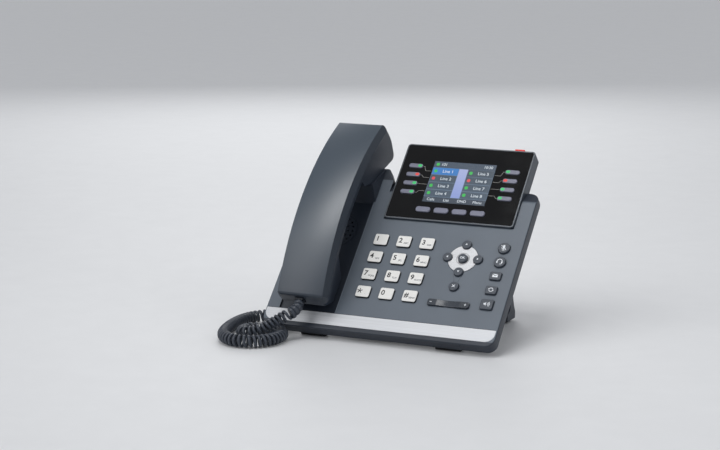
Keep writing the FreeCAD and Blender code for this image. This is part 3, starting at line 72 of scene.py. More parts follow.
# Painted shade on the housing: where the lip ends and the cradle starts, the heights of the trough's floor
# and of the rests, and how squarely a surface has to face out to count as the face and not be painted in
# shade
LIP_V = 4.4
CRADLE_V = 155.8
FLOOR_H = -0.4
REST_H = 1.0
STEP_BLEND = 0.6
FACING_START = 0.6
FACING_FULL = 0.85
TOP_EDGE_SHARE = 0.8

# Painted shade and relief, in metres: the right side of the cradle's painted shadow, the width of a change,
# and the handset's crowned face
CRADLE_X = -0.024
EDGE_BLEND = 0.0002
HANDSET_X = -0.066
HANDSET_HALF = 0.021
HANDSET_CROWN = 0.0018

# Keys and lines on the face
DIAL_U = -21.6
DIAL_V = 92.7
DIAL_PITCH_U = 21.44
DIAL_PITCH_V = 17.75
NAV_U = 56.9
NAV_V = 81.5
NAV_RING = 13.7
NAV_PLATE_R = 12.9
NAV_DISH_R = 5.7
CANCEL_V = 53.2
VOLUME_V = 36.0
VOLUME_MARK = 15.4
FEATURE_U = 90.3
FEATURE_V = 95.0
FEATURE_PITCH = 14.0
LINE_KEY_OUT = 45.0
LINE_KEY_V = 171.5
LINE_KEY_PITCH = 9.24
LINE_KEY_W = 13.0
LINE_KEY_L = 4.2
RIDGE_U = -40.8
RIDGE_ENDS = (18.0, 135.0)

# Screen
SCREEN_U = 32.65
SCREEN_V = 156.6
SCREEN_W = 57.6
SCREEN_L = 43.2
SCREEN_LEFT = SCREEN_U - SCREEN_W / 2
SCREEN_RIGHT = SCREEN_U + SCREEN_W / 2
SCREEN_LOW = SCREEN_V - SCREEN_L / 2
SCREEN_HIGH = SCREEN_V + SCREEN_L / 2
LENS_TOP = 2.0

# Thickness of a mark, how far it is set in, how much its words are thickened, and a layer of the picture
PRINT_T = 0.05
PRINT_SET = 0.02
BOLD_SHARE = 0.02
PICTURE_T = 0.02

# The least share of a line's width that its corners keep
MITRE_LEAST = 0.5

# Curly cord
WIRE_D = 2.6
COIL_OD = 10.8
COIL_PITCH = 3.55
COIL_GAP = 0.62
COIL_START = 5.0
COIL_END_LEAD = 38.0
TAPER_RUN = 13.0
TAPER_PITCH = 11.8
TIGHT_SHARE = 0.3
LEAD_STEP = 3.2
HANDSET_END = (-67.5, 14.5, 16.5)
BASE_END = (-70.0, 60.3, -17.45)
LIFT_REACH = 130.0
ROUTE_RESOLUTION = 80
TURN_POINTS = 20
STRAIGHT_STEP = 1.0
WIRE_SIDES = 10
BOOT_SIDES = 24
BOOT_R = 2.9
BOOT_RIB = 1.1
BOOT_RUN = 9.0
BOOT_COIL_RUN = 14.2
BOOT_COIL_R = 4.3
CORD_ROUTE = [
    (-71.0, -10.0, 23.2),
    (-76.5, -16.0, 20.3),
    (-83.0, -22.0, 15.6),
    (-90.0, -27.0, 11.0),
    (-97.5, -29.5, 8.4),
    (-105.9, -29.5, 6.9),
    (-113.0, -21.9, 5.9),
    (-113.0, -11.1, 5.7),
    (-105.9, -4.6, 5.7),
    (-95.0, -4.1, 5.7),
    (-84.0, -7.0, 5.7),
    (-76.5, -15.5, 5.7),
    (-75.0, -28.5, 5.7),
    (-79.5, -41.0, 5.7),
    (-89.5, -50.0, 5.7),
    (-102.5, -52.5, 5.7),
    (-115.0, -46.5, 5.7),
    (-123.5, -35.0, 5.7),
    (-128.5, -20.0, 5.7),
    (-131.5, -4.0, 5.7),
    (-132.5, 12.0, 5.7),
    (-130.0, 27.0, 5.7),
    (-121.0, 37.0, 6.2),
    (-107.0, 37.5, 9.0),
    (-92.0, 35.0, 14.0),
    (-79.0, 35.0, 20.5),
]

# Noise in the finishes: repeats per metre, detail, the part of its range in use, and the swings it gives
MOTTLE_SCALE = 28.0
CAP_MOTTLE_SCALE = 60.0
GRAIN_SCALE = 1800.0
CAP_GRAIN_SCALE = 2400.0
GLOW_GRAIN_SCALE = 5200.0
MOTTLE_DETAIL = 5.0
CAP_MOTTLE_DETAIL = 4.0
GRAIN_DETAIL = 2.0
BRUSHED_DETAIL = 6.0
GLOW_DETAIL = 1.0
NOISE_LOW = 0.3
NOISE_HIGH = 0.7
MOTTLE = 0.05
CAP_MOTTLE = 0.03
BRUSHED_DARK = 0.88
BRUSHED_LIGHT = 1.08
ROUGH_SWING = 0.05
BRUSHED_SWING = 0.08

# Relief of the grain in metres, and the half height over which a cap's colour changes in millimetres
GRAIN_DEPTH = 0.00003
CAP_GRAIN_DEPTH = 0.00001
CAP_BLEND = 0.05

# Backlit print: its dark ground, its own light and its gloss
GLOW_GROUND = (0.01, 0.01, 0.012, 1.0)
GLOW_STRENGTH = 1.0
GLOW_COAT_ROUGH = 0.06
GLOW_ROUGH = (0.18, 0.3)


def at(u, v, h):
    """Point in metres of a place on the face."""
    return (FRONT_EDGE + ACROSS * u + UP_FACE * v + OUT * h) * MM


def paint(code):
    """Linear colour of a web colour code."""
    parts = [int(code[i:i + 2], 16) / 255 for i in (1, 3, 5)]
    return [c / 12.92 if c <= 0.04045 else ((c + 0.055) / 1.055) ** 2.4 for c in parts] + [1.0]


def shade(color, factor):
    """Colour made lighter or darker."""
    return [min(c * factor, 1.0) for c in color[:3]] + [1.0]


def smooth(share):
    """A share kept between 0 and 1 that starts and ends gently."""
    share = min(max(share, 0.0), 1.0)
    return share * share * (3 - 2 * share)


# Materials
def blank(name):
    """New node material with its shader, and the object's own coordinates."""
    material = bpy.data.materials.new(name)
    material.use_nodes = True
    tree = material.node_tree
    shader = tree.nodes["Principled BSDF"]
    place = tree.nodes.new("ShaderNodeTexCoord").outputs["Object"]
    return material, tree, shader, place


def noise(tree, place, scale, detail, stretch=None):
    """Noise over the object, scaled by repeats per metre."""
    if stretch:
        mapping = tree.nodes.new("ShaderNodeMapping")
        mapping.inputs["Scale"].default_value = stretch
        tree.links.new(place, mapping.inputs["Vector"])
        place = mapping.outputs["Vector"]
    node = tree.nodes.new("ShaderNodeTexNoise")
    node.inputs["Scale"].default_value = scale
    node.inputs["Detail"].default_value = detail
    tree.links.new(place, node.inputs["Vector"])
    return node.outputs["Fac"]


def ramp(tree, value, low, high, start=0.0, end=1.0):
    """Colour that goes from one to another along a value."""
    node = tree.nodes.new("ShaderNodeValToRGB")
    for element, place, color in zip(node.color_ramp.elements, (start, end), (low, high)):
        element.position = place
        element.color = color
    tree.links.new(value, node.inputs["Fac"])
    return node.outputs["Color"]


def tint(tree, value, code, dark, light):
    """Colour that goes from a darker to a lighter shade along a noise."""
    color = paint(code)
    return ramp(tree, value, shade(color, dark), shade(color, light), NOISE_LOW, NOISE_HIGH)


def spread(tree, value, low, high, start=NOISE_LOW, end=NOISE_HIGH):
    """A value stretched to a range."""
    node = tree.nodes.new("ShaderNodeMapRange")
    node.inputs["From Min"].default_value = start
    node.inputs["From Max"].default_value = end
    node.inputs["To Min"].default_value = low
    node.inputs["To Max"].default_value = high
    tree.links.new(value, node.inputs["Value"])
    return node.outputs["Result"]


def times(tree, first, second):
    """Product of two values."""
    node = tree.nodes.new("ShaderNodeMath")
    node.operation = "MULTIPLY"
    tree.links.new(first, node.inputs[0])
    tree.links.new(second, node.inputs[1])
    return node.outputs["Value"]


def along(tree, vector, direction):
    """How far a vector goes along a direction."""
    node = tree.nodes.new("ShaderNodeVectorMath")
    node.operation = "DOT_PRODUCT"
    node.inputs[1].default_value = direction
    tree.links.new(vector, node.inputs[0])
    return node.outputs["Value"]


def face_height(tree, place):
    """Height out of the face in millimetres."""
    less = tree.nodes.new("ShaderNodeMath")
    less.operation = "SUBTRACT"
    less.inputs[1].default_value = FRONT_EDGE.dot(OUT)
    tree.links.new(along(tree, place, OUT / MM), less.inputs[0])
    return less.outputs["Value"]


def bump(tree, shader, height, depth, under=None):
    """Relief of a height in metres, over another relief where there is one."""
    node = tree.nodes.new("ShaderNodeBump")
    node.inputs["Distance"].default_value = depth
    tree.links.new(height, node.inputs["Height"])
    if under:
        tree.links.new(under, node.inputs["Normal"])
    tree.links.new(node.outputs["Normal"], shader.inputs["Normal"])


def crown(tree, place, middle, half, height):
    """Relief of a face that is gently crowned across its width."""
    share = spread(tree, along(tree, place, ACROSS), -1.0, 1.0, middle - half, middle + half)
    node = tree.nodes.new("ShaderNodeBump")
    node.invert = True
    node.inputs["Distance"].default_value = height
    tree.links.new(times(tree, share, share), node.inputs["Height"])
    return node.outputs["Normal"]


def set_rough(tree, shader, value, rough, swing):
    """Roughness that swings about a middle along a noise."""
    tree.links.new(spread(tree, value, rough - swing, rough + swing), shader.inputs["Roughness"])


def set_sockets(shader, sockets):
    """Constants on the shader's own sockets, named with _ for a blank."""
    for socket, value in sockets.items():
        shader.inputs[socket.replace("_", " ")].default_value = value


def two_tone_or_painted_shade(tree, shader, share, slow, codes, mottle):
    """Base colour that goes from one mottled colour to another with a share."""
    mix = tree.nodes.new("ShaderNodeMix")
    mix.data_type = "RGBA"
    tree.links.new(share, mix.inputs["Factor"])
    for socket, code in zip("AB", codes):
        target = [s for s in mix.inputs if s.name == socket and s.type == "RGBA"][0]
        tree.links.new(tint(tree, slow, code, 1 - mottle, 1 + mottle), target)
    tree.links.new([s for s in mix.outputs if s.type == "RGBA"][0], shader.inputs["Base Color"])


def moulded(name, code, rough, grain=GRAIN_SCALE, depth=GRAIN_DEPTH, mottle=MOTTLE, **sockets):
    """Moulded plastic or rubber: fine grain, and slow changes of shade and gloss."""
    material, tree, shader, place = blank(name)
    slow = noise(tree, place, MOTTLE_SCALE, MOTTLE_DETAIL)
    tree.links.new(tint(tree, slow, code, 1 - mottle, 1 + mottle), shader.inputs["Base Color"])
    fine = noise(tree, place, grain, GRAIN_DETAIL)
    set_rough(tree, shader, fine, rough, ROUGH_SWING)
    bump(tree, shader, fine, depth)
    set_sockets(shader, sockets)
    return material


def capped(name, cap, side, level, rough, side_rough, metal=0.0):
    """One colour above a height over the face, another below it."""
    material, tree, shader, place = blank(name)
    above = spread(tree, face_height(tree, place), 0.0, 1.0, level - CAP_BLEND, level + CAP_BLEND)
    slow = noise(tree, place, CAP_MOTTLE_SCALE, CAP_MOTTLE_DETAIL)
    two_tone_or_painted_shade(tree, shader, above, slow, (side, cap), CAP_MOTTLE)
    tree.links.new(spread(tree, above, side_rough, rough, 0.0, 1.0), shader.inputs["Roughness"])
    if metal:
        tree.links.new(spread(tree, above, 0.0, metal, 0.0, 1.0), shader.inputs["Metallic"])
    bump(tree, shader, noise(tree, place, CAP_GRAIN_SCALE, GRAIN_DETAIL), CAP_GRAIN_DEPTH)
    return material


def slab_unshaded_shares(tree, place):
    """Values that are 1 on the housing's face, and 0 where shade is painted: in the trough, on the rests,
    the lip and the cradle.
    """
    height = face_height(tree, place)
    up = along(tree, place, UP_FACE)
    lip, cradle = [at(0, v, 0).dot(UP_FACE) for v in (LIP_V, CRADLE_V)]
    on_cradle = times(tree, spread(tree, up, 0.0, 1.0, cradle, cradle + EDGE_BLEND),
                      spread(tree, along(tree, place, ACROSS), 1.0, 0.0, CRADLE_X, CRADLE_X + EDGE_BLEND))
    return [spread(tree, height, 0.0, 1.0, FLOOR_H - STEP_BLEND, FLOOR_H),
            spread(tree, height, 1.0, 0.0, REST_H, REST_H + STEP_BLEND),
            spread(tree, up, 0.0, 1.0, lip - EDGE_BLEND, lip),
            spread(tree, on_cradle, 1.0, 0.0, 0.0, 1.0)]


def moulded_with_painted_shade(name, front, side, rough, slab=False, crowned=None):
    """Satin moulding with painted shade: darker on its sides, and on the housing also off its face."""
    material, tree, shader, place = blank(name)
    normal = tree.nodes["Texture Coordinate"].outputs["Normal"]
    squarely = along(tree, normal, OUT + UP_FACE * TOP_EDGE_SHARE)
    unshaded_share = spread(tree, squarely, 0.0, 1.0, FACING_START, FACING_FULL)
    if slab:
        for share in slab_unshaded_shares(tree, place):
            unshaded_share = times(tree, unshaded_share, share)
    slow = noise(tree, place, MOTTLE_SCALE, MOTTLE_DETAIL)
    two_tone_or_painted_shade(tree, shader, unshaded_share, slow, (side, front), MOTTLE)
    fine = noise(tree, place, GRAIN_SCALE, GRAIN_DETAIL)
    set_rough(tree, shader, fine, rough, ROUGH_SWING)
    bump(tree, shader, fine, GRAIN_DEPTH, crown(tree, place, *crowned) if crowned else None)
    return material


def brushed(name, code, rough, stretch, depth, **sockets):
    """Metal finish: brushed along an axis of small scale, or grained where all three are alike."""
    material, tree, shader, place = blank(name)
    lines = noise(tree, place, 1.0, BRUSHED_DETAIL, stretch)
    tree.links.new(tint(tree, lines, code, BRUSHED_DARK, BRUSHED_LIGHT), shader.inputs["Base Color"])
    set_rough(tree, shader, lines, rough, BRUSHED_SWING)
    bump(tree, shader, lines, depth)
    set_sockets(shader, sockets)
    return material


def lit(name, code, code_low=None):
    """Backlit print under gloss, in one colour or with another colour at the foot of the screen."""
    material, tree, shader, place = blank(name)
    shader.inputs["Base Color"].default_value = GLOW_GROUND
    shader.inputs["Coat Weight"].default_value = 1.0
    shader.inputs["Coat Roughness"].default_value = GLOW_COAT_ROUGH
    shader.inputs["Emission Strength"].default_value = GLOW_STRENGTH
    shader.inputs["Emission Color"].default_value = paint(code)
    if code_low:
        low, high = [at(0, v, LENS_TOP).dot(UP_FACE) for v in (SCREEN_LOW, SCREEN_HIGH)]
        share = spread(tree, along(tree, place, UP_FACE), 0.0, 1.0, low, high)
        tree.links.new(ramp(tree, share, paint(code_low), paint(code)), shader.inputs["Emission Color"])
    fine = noise(tree, place, GLOW_GRAIN_SCALE, GLOW_DETAIL)
    tree.links.new(spread(tree, fine, *GLOW_ROUGH), shader.inputs["Roughness"])
    return material


# Finishes of the record's slots. A moulded one gives its colour, its roughness, its grain per metre, the
# grain's relief in metres and its mottle.
slots = {
    "slate_plastic": moulded("slate_plastic", "#5B646E", 0.42),
    "dark_plastic": moulded("dark_plastic", "#2C333E", 0.4),
    "brushed_trim": brushed("brushed_trim", "#CFD1D4", 0.45, (12.0, 2600.0, 2600.0), 0.00003, Metallic=0.3),
    "key_white": capped("key_white", "#E9E8E4", "#15181D", 1.55, 0.38, 0.4),
    "key_dark": moulded("key_dark", "#3A414B", 0.36, 2600.0, 0.00001, Coat_Weight=0.15),
    "key_pale": moulded("key_pale", "#767889", 0.34, 2600.0, 0.00001),
    "nav_silver": brushed("nav_silver", "#C9CACC", 0.4, (900.0, 900.0, 900.0), 0.00001, Metallic=0.4),
    "lens_black": moulded("lens_black", "#060607", 0.1, 40.0, 0.000001, 0.2, Specular_IOR_Level=0.3),
    "screen_glass": moulded("screen_glass", "#1C2530", 0.12, 60.0, 0.000002, 0.1),
    "lamp_red": moulded("lamp_red", "#D41A10", 0.25, 900.0, 0.00001, 0.08, Emission_Strength=0.2,
                        Emission_Color=paint("#D41A10")),
    "board_green": moulded("board_green", "#1E5B35", 0.45, 700.0, 0.00004, 0.15),
    "silicone": moulded("silicone", "#B9BDBE", 0.6, 1500.0),
    "speaker_steel": moulded("speaker_steel", "#30343A", 0.5, 900.0, 0.00004, 0.1),
    "socket_black": moulded("socket_black", "#14161A", 0.42, 2000.0, 0.00002, 0.08),
    "screw_steel": brushed("screw_steel", "#A9ACB0", 0.32, (700.0, 700.0, 700.0), 0.00002, Metallic=1.0),
    "foot_rubber": moulded("foot_rubber", "#17191C", 0.75, 1400.0, 0.00006, 0.1),
    "cord_sheath": moulded("cord_sheath", "#353B45", 0.38, 1800.0, 0.00001, 0.06),
    "plug_clear": moulded("plug_clear", "#20242B", 0.25, 900.0, 0.00001, 0.1),
}
for part in frame["record"]["subparts"]:
    shape = nodes[part["node"]].data
    shape.materials.clear()
    shape.materials.append(slots[part["material_slot"]])

# Finishes of single nodes, with painted shade on the housing and the handset
crowned_face = (HANDSET_X, HANDSET_HALF, HANDSET_CROWN)
own_finish_and_shade = {
    "display_frame": capped("display_rim", "#565A5F", "#39414B", 2.0, 0.32, 0.4, 0.5),
    "volume_rocker": moulded("rocker_gloss", "#31373F", 0.25, 2600.0, 0.000004, Coat_Weight=0.1),
    # the housing's darker colour is painted shade on its sides, in the trough, on the rests, the lip and the
    # cradle
    "front_housing": moulded_with_painted_shade("housing_slate_painted_shade", "#5C656F", "#262D38", 0.42, slab=True),
    # the handset's darker colour is painted shade on its sides and ends
    "handset_outer_shell": moulded_with_painted_shade("handset_slate_painted_shade", "#313B45", "#29313B", 0.37, crowned=crowned_face),
}
for node, material in own_finish_and_shade.items():
    nodes[node].data.materials[0] = material

# Finishes of the marks: inks, painted shade and a painted highlight
ink_black = moulded("ink_black", "#1B1C1E", 0.5, 2600.0, 0.000005)
ink_grey = moulded("ink_grey", "#77797C", 0.5, 2600.0, 0.000005)
ink_white = moulded("ink_white", "#E4E8EC", 0.45, 2600.0, 0.000005)
ink_line = moulded("ink_line", "#83827E", 0.45, 2600.0, 0.000005)
# painted shade of the dish round the OK key
dish_shade_grey = moulded("dish_shade_grey", "#97989A", 0.4, 2000.0, 0.00001)
# painted highlight along the edge of the trough
ridge_highlight_paint = moulded("ridge_highlight_paint", "#78818B", 0.4, 2000.0, 0.00001)
# painted shade in grooves and gaps
painted_groove_shade = moulded("painted_groove_shade", "#3B424B", 0.5, 2000.0, 0.00001)


# Marks drawn on the face
LOOK_DOWN_H = 80.0
surfaces = {}


def top(node, u, v):
    """Height of a node's surface over a place on the face."""
    if node not in surfaces:
        shape = nodes[node].data
        corners = [corner.co for corner in shape.vertices]
        surfaces[node] = BVHTree.FromPolygons(corners, [list(face.vertices) for face in shape.polygons])
    hit = surfaces[node].ray_cast(at(u, v, LOOK_DOWN_H), -OUT)[0]
    return (hit / MM - FRONT_EDGE).dot(OUT)


def prism(bm, outline, low, high):
    """Closed plate over a flat outline on the face."""
    area = 0.0
    for (u0, v0), (u1, v1) in zip(outline, outline[1:] + outline[:1]):
        area += u0 * v1 - u1 * v0
    ring = outline if area > 0 else outline[::-1]
    under = [bm.verts.new(at(u, v, low)) for u, v in ring]
    over = [bm.verts.new(at(u, v, high)) for u, v in ring]
    bm.faces.new(over)
    bm.faces.new(under[::-1])
    for i in range(len(ring)):
        j = (i + 1) % len(ring)
        bm.faces.new((under[i], under[j], over[j], over[i]))


def meshed(curve):
    """Mesh of a curve or a text, which is removed."""
    holder = bpy.data.objects.new(curve.name, curve)
    scene.collection.objects.link(holder)
    bpy.context.view_layer.update()
    shape = bpy.data.meshes.new_from_object(holder.evaluated_get(bpy.context.evaluated_depsgraph_get()))
    bpy.data.objects.remove(holder)
    bpy.data.curves.remove(curve)
    return shape


def letters(bm, words, u, v, size, level, bold=0.0):
    """Raised words centred on a place on the face."""
    text = bpy.data.curves.new("words", "FONT")
    text.body = words
    text.size = size
    text.extrude = PRINT_T / 2
    text.offset = bold
    text.align_x = "CENTER"
    text.align_y = "CENTER"
    shape = meshed(text)
    axes = Matrix((ACROSS, UP_FACE, OUT)).transposed().to_4x4() @ Matrix.Scale(MM, 4)
    shape.transform(Matrix.Translation(at(u, v, level + PRINT_T / 2)) @ axes)
    bm.from_mesh(shape)
    bpy.data.meshes.remove(shape)


def piece(name, bm, material, body):
    """Object made of a mesh, riding on a body."""
    shape = bpy.data.meshes.new(name)
    bm.to_mesh(shape)
    bm.free()
    shape.materials.append(material)
    made = bpy.data.objects.new(name, shape)
    scene.collection.objects.link(made)
    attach(made, body)
    return made


def mark(name, outlines, level, material, body, words=()):
    """Printed mark of flat outlines and words at a level over the face."""
    bm = bmesh.new()
    for outline in outlines:
        prism(bm, outline, level - PRINT_SET, level + PRINT_T)
    for text, u, v, size in words:
        letters(bm, text, u, v, size, level, size * BOLD_SHARE)
    return piece(name, bm, material, body)


def icon_mark(name, outlines, u, v, key):
    """White mark of outlines drawn round the middle of a place on a key."""
    return mark(name, [moved(line, u, v) for line in outlines], top(key, u, v), ink_white, key)


def disc(u, v, radius, count=20):
    """Round outline."""
    turns = [2 * math.pi * i / count for i in range(count)]
    return [(u + radius * math.cos(a), v + radius * math.sin(a)) for a in turns]


def pill(u, v, width, length, radius, count=6):
    """Outline with round corners."""
    outline = []
    for k, (su, sv) in enumerate(((1, 1), (-1, 1), (-1, -1), (1, -1))):
        for i in range(count + 1):
            a = math.pi / 2 * (k + i / count)
            outline.append((u + su * (width / 2 - radius) + radius * math.cos(a),
                            v + sv * (length / 2 - radius) + radius * math.sin(a)))
    return outline


def bow(u, v, radius, width, start, end, count=16):
    """Part of a ring between two angles in degrees."""
    turns = [math.radians(start + (end - start) * i / count) for i in range(count + 1)]
    outer, inner = [[(u + r * math.cos(a), v + r * math.sin(a)) for a in turns]
                    for r in (radius + width / 2, radius - width / 2)]
    return outer + inner[::-1]


def stroke(points, width):
    """Outline of a line of some width through points."""
    left = []
    right = []
    for i, (u, v) in enumerate(points):
        back = points[max(i - 1, 0)]
        ahead = points[min(i + 1, len(points) - 1)]
        steps = [Vector(b) - Vector(a) for a, b in ((back, (u, v)), ((u, v), ahead)) if a != b]
        sides = [Vector((-step.y, step.x)).normalized() for step in steps]
        side = sum(sides, Vector((0.0, 0.0))).normalized()
        side *= width / 2 / max(side.dot(sides[0]), MITRE_LEAST)
        left.append((u + side.x, v + side.y))
        right.append((u - side.x, v - side.y))
    return left + right[::-1]


def panel(u, v, width, length):
    """Plain rectangle round a middle."""
    return [(u - width / 2, v - length / 2), (u + width / 2, v - length / 2),
            (u + width / 2, v + length / 2), (u - width / 2, v + length / 2)]


def moved(outline, u, v):
    """Outline set at a place."""
    return [(u + a, v + b) for a, b in outline]


# Dial keys: digits and the letters that belong to them, set off the keys' middles
DIGIT_SIZE = 6.6
DIGIT_SHIFT = (-3.0, 0.3)
LETTER_SIZE = 2.3
LETTER_SHIFT = (2.5, -1.9)
STAR_SHIFT = (-3.0, 0.2)
STAR_TURNS = (90, 162, 234, 306, 18)
STAR_R = 2.4
STAR_HUB = 0.6
STAR_LINE = 0.75
DIAL_PRINT = (
    (("1", ""), ("2", "ABC"), ("3", "DEF")),
    (("4", "GHI"), ("5", "JKL"), ("6", "MNO")),
    (("7", "PQRS"), ("8", "TUV"), ("9", "WXYZ")),
    (("*", "."), ("0", ""), ("#", "SEND")),
)
KEY_WORDS = {"*": "star", "#": "hash"}


def star(u, v):
    """Outlines of strokes round a hub."""
    lines = []
    for turn in STAR_TURNS:
        a = math.radians(turn)
        ends = [(u + r * math.cos(a), v + r * math.sin(a)) for r in (STAR_HUB, STAR_R)]
        lines.append(stroke(ends, STAR_LINE))
    return lines + [disc(u, v, STAR_HUB)]


for row, keys in enumerate(DIAL_PRINT):
    for column, (digit, small) in enumerate(keys):
        key = "dial_key_" + KEY_WORDS.get(digit, digit)
        u = DIAL_U + column * DIAL_PITCH_U
        v = DIAL_V - row * DIAL_PITCH_V
        level = top(key, u, v)
        lines = []
        words = []
        if digit == "*":
            lines = star(u + STAR_SHIFT[0], v + STAR_SHIFT[1])
        else:
            words = [(digit, u + DIGIT_SHIFT[0], v + DIGIT_SHIFT[1], DIGIT_SIZE)]
        mark(key + "_digit", lines, level, ink_black, key, words)
        if small:
            words = [(small, u + LETTER_SHIFT[0], v + LETTER_SHIFT[1], LETTER_SIZE)]
            mark(key + "_letters", [], level, ink_grey, key, words)

# Navigation, cancel and feature keys and the volume rocker: icons drawn round the middles of their keys
OK_SIZE = 3.0
ICON_LINE = 0.5
FINE_LINE = 0.45
WAVE_LINE = 0.4
ARROW = [(-1.0, -0.7), (1.0, -0.7), (0.0, 0.9)]
for name, du, dv in (("up", 0, 1), ("down", 0, -1), ("left", -1, 0), ("right", 1, 0)):
    key = "arrow_key_" + name
    turned = [(a * dv + b * du, b * dv - a * du) for a, b in ARROW]
    icon_mark(key + "_arrow", [turned], NAV_U + du * NAV_RING, NAV_V + dv * NAV_RING, key)
mark("ok_key_words", [], top("ok_key", NAV_U, NAV_V), ink_white, "ok_key",
     [("OK", NAV_U, NAV_V, OK_SIZE)])
cross = [stroke([(-1.2, -1.2), (1.2, 1.2)], ICON_LINE), stroke([(-1.2, 1.2), (-0.2, 0.2)], ICON_LINE),
         stroke([(0.2, -0.2), (1.2, -1.2)], ICON_LINE)]
icon_mark("cancel_key_cross", cross, NAV_U, CANCEL_V, "cancel_key")
ICONS = {
    "mute_key": [pill(0.0, 0.9, 1.9, 3.6, 0.9), bow(0.0, 0.5, 1.9, FINE_LINE, 195, 345),
                 stroke([(0.0, -1.4), (0.0, -2.4)], FINE_LINE),
                 stroke([(-1.1, -2.5), (1.1, -2.5)], FINE_LINE),
                 stroke([(-2.5, 2.1), (-1.2, 1.1)], ICON_LINE),
                 stroke([(1.2, -1.0), (2.5, -2.1)], ICON_LINE)],
    "headset_key": [bow(0.0, 0.2, 2.2, 0.6, 0, 180), pill(-2.2, -0.6, 1.1, 1.9, 0.4),
                    pill(2.2, -0.6, 1.1, 1.9, 0.4),
                    stroke([(2.3, -1.6), (1.6, -2.3), (0.4, -2.4)], FINE_LINE)],
    "message_key": [[(-2.4, 1.0), (-2.4, -1.6), (2.4, -1.6), (2.4, 1.0), (0.0, -0.5)],
                    [(-2.3, 1.5), (2.3, 1.5), (0.0, 0.1)]],
    "redial_key": [bow(0.0, 0.0, 1.7, 0.55, 20, 150), bow(0.0, 0.0, 1.7, 0.55, 200, 330),
                   [(-2.5, 1.0), (-0.8, 1.3), (-1.9, -0.3)], [(2.5, -1.0), (0.8, -1.3), (1.9, 0.3)]],
    "speaker_key": [[(-2.6, 0.7), (-2.6, -0.7), (-1.7, -0.7), (-0.5, -1.8), (-0.5, 1.8), (-1.7, 0.7)],
                    *[bow(-0.4, 0.0, radius, WAVE_LINE, -45, 45) for radius in (1.3, 2.2, 3.1)]],
}
for row, (key, icon) in enumerate(ICONS.items()):
    icon_mark(key + "_icon", icon, FEATURE_U, FEATURE_V - row * FEATURE_PITCH, key)
minus = [stroke([(-0.9, 0.0), (0.9, 0.0)], ICON_LINE)]
plus = minus + [stroke([(0.0, 0.25), (0.0, 0.9)], ICON_LINE),
                stroke([(0.0, -0.9), (0.0, -0.25)], ICON_LINE)]
icon_mark("volume_rocker_minus", minus, NAV_U - VOLUME_MARK, VOLUME_V, "volume_rocker")
icon_mark("volume_rocker_plus", plus, NAV_U + VOLUME_MARK, VOLUME_V, "volume_rocker")

# Engraved neck from the navigation ring to the cancel key, drawn as flat lines of painted shade
NECK_LINE = 0.3
NECK = ((3.7, NAV_V - 17.2), (2.3, NAV_V - 20.5), (1.9, CANCEL_V + 6.0), (2.1, CANCEL_V + 4.5))
neck = [stroke([(NAV_U + side * half, v) for half, v in NECK], NECK_LINE) for side in (-1, 1)]
mark("cancel_neck", neck, 0.0, painted_groove_shade, "base")

# Painted shade of the dish round the OK key, painted shade in the gap round the navigation plate and a
# painted highlight along the crest beside the trough
DISH_LINE = 0.55
DISH_ARC = 180
DISH_STARTS = (45, 225)
PLATE_LINE = 0.45
PLATE_ARC = 44
PLATE_STARTS = (23, 113, 203, 293)
RIDGE_LINE = 0.35
# painted shade of the dished ring round the OK key
dish_shade_ring = [bow(NAV_U, NAV_V, NAV_DISH_R, DISH_LINE, start, start + DISH_ARC) for start in DISH_STARTS]
mark("nav_dish_shade", dish_shade_ring, top("nav_plate", NAV_U + NAV_DISH_R, NAV_V), dish_shade_grey, "base")
# painted shade in the gap round the navigation plate
gap_r = NAV_PLATE_R + PLATE_LINE
gap = [bow(NAV_U, NAV_V, gap_r, PLATE_LINE, start, start + PLATE_ARC) for start in PLATE_STARTS]
mark("nav_gap", gap, 0.0, painted_groove_shade, "base")
# painted highlight along the edge of the trough
ridge_highlight_stroke = stroke([(RIDGE_U, v) for v in RIDGE_ENDS], RIDGE_LINE)
mark("ridge_highlight_line", [ridge_highlight_stroke], 0.0, ridge_highlight_paint, "base")

# Vent slots in the back, drawn as flat dark pills of painted shade where the openings are
BACK_H = -12.0
VENT_COUNT = 16
VENT_PITCH = 6.0
VENT_V = 146.0
VENT_SIZE = (1.6, 9.0, 0.7)
vent_places = [(i - (VENT_COUNT - 1) / 2) * VENT_PITCH for i in range(VENT_COUNT)]
vent_shade_pills = [pill(u, VENT_V, *VENT_SIZE) for u in vent_places]
mark("vent_slots_painted_shade", vent_shade_pills, BACK_H - PRINT_T + PRINT_SET, slots["socket_black"], "base")

# Line keys: lamps at their inner ends, and the leader lines to the rows of the screen
LED_COLORS = ("green", "red", "green", "green")
LED_LEN = 3.6
LED_IN = 0.7
LED_W = LINE_KEY_L - 1.5
LED_R = 1.2
LEADER_LINE = 0.35
LEADER_GAP = 0.4
LEADER_RUN = 1.4
LEADER_BEND = 3.0
LEADER_END = 0.9
LEADER_ROW_TOP = SCREEN_HIGH - 7.4
LEADER_ROW_PITCH = 7.1
led = {"green": lit("led_green", "#2FC46A"), "red": lit("led_red", "#E2433C")}
leaders = []
for side, word in ((-1, "left"), (1, "right")):
    for row, color in enumerate(LED_COLORS):
        key = "line_key_%s_%d" % (word, row + 1)
        u = SCREEN_U + side * LINE_KEY_OUT
        v = LINE_KEY_V - row * LINE_KEY_PITCH
        lamp_u = u - side * (LINE_KEY_W / 2 - LED_IN) + side * LED_LEN / 2
        lamp = pill(lamp_u, v, LED_LEN, LED_W, LED_R)
        mark(key + "_lamp", [lamp], top(key, u, v), led[color], key)
        row_v = LEADER_ROW_TOP - (row + 0.5) * LEADER_ROW_PITCH
        start = u - side * (LINE_KEY_W / 2 + LEADER_GAP)
        end = SCREEN_U + side * (SCREEN_W / 2 + LEADER_END)
        leaders.append(stroke([(start, v), (start - side * LEADER_RUN, v),
                               (start - side * LEADER_BEND, row_v), (end, row_v)], LEADER_LINE))
mark("leader_lines", leaders, LENS_TOP, ink_line, "base")

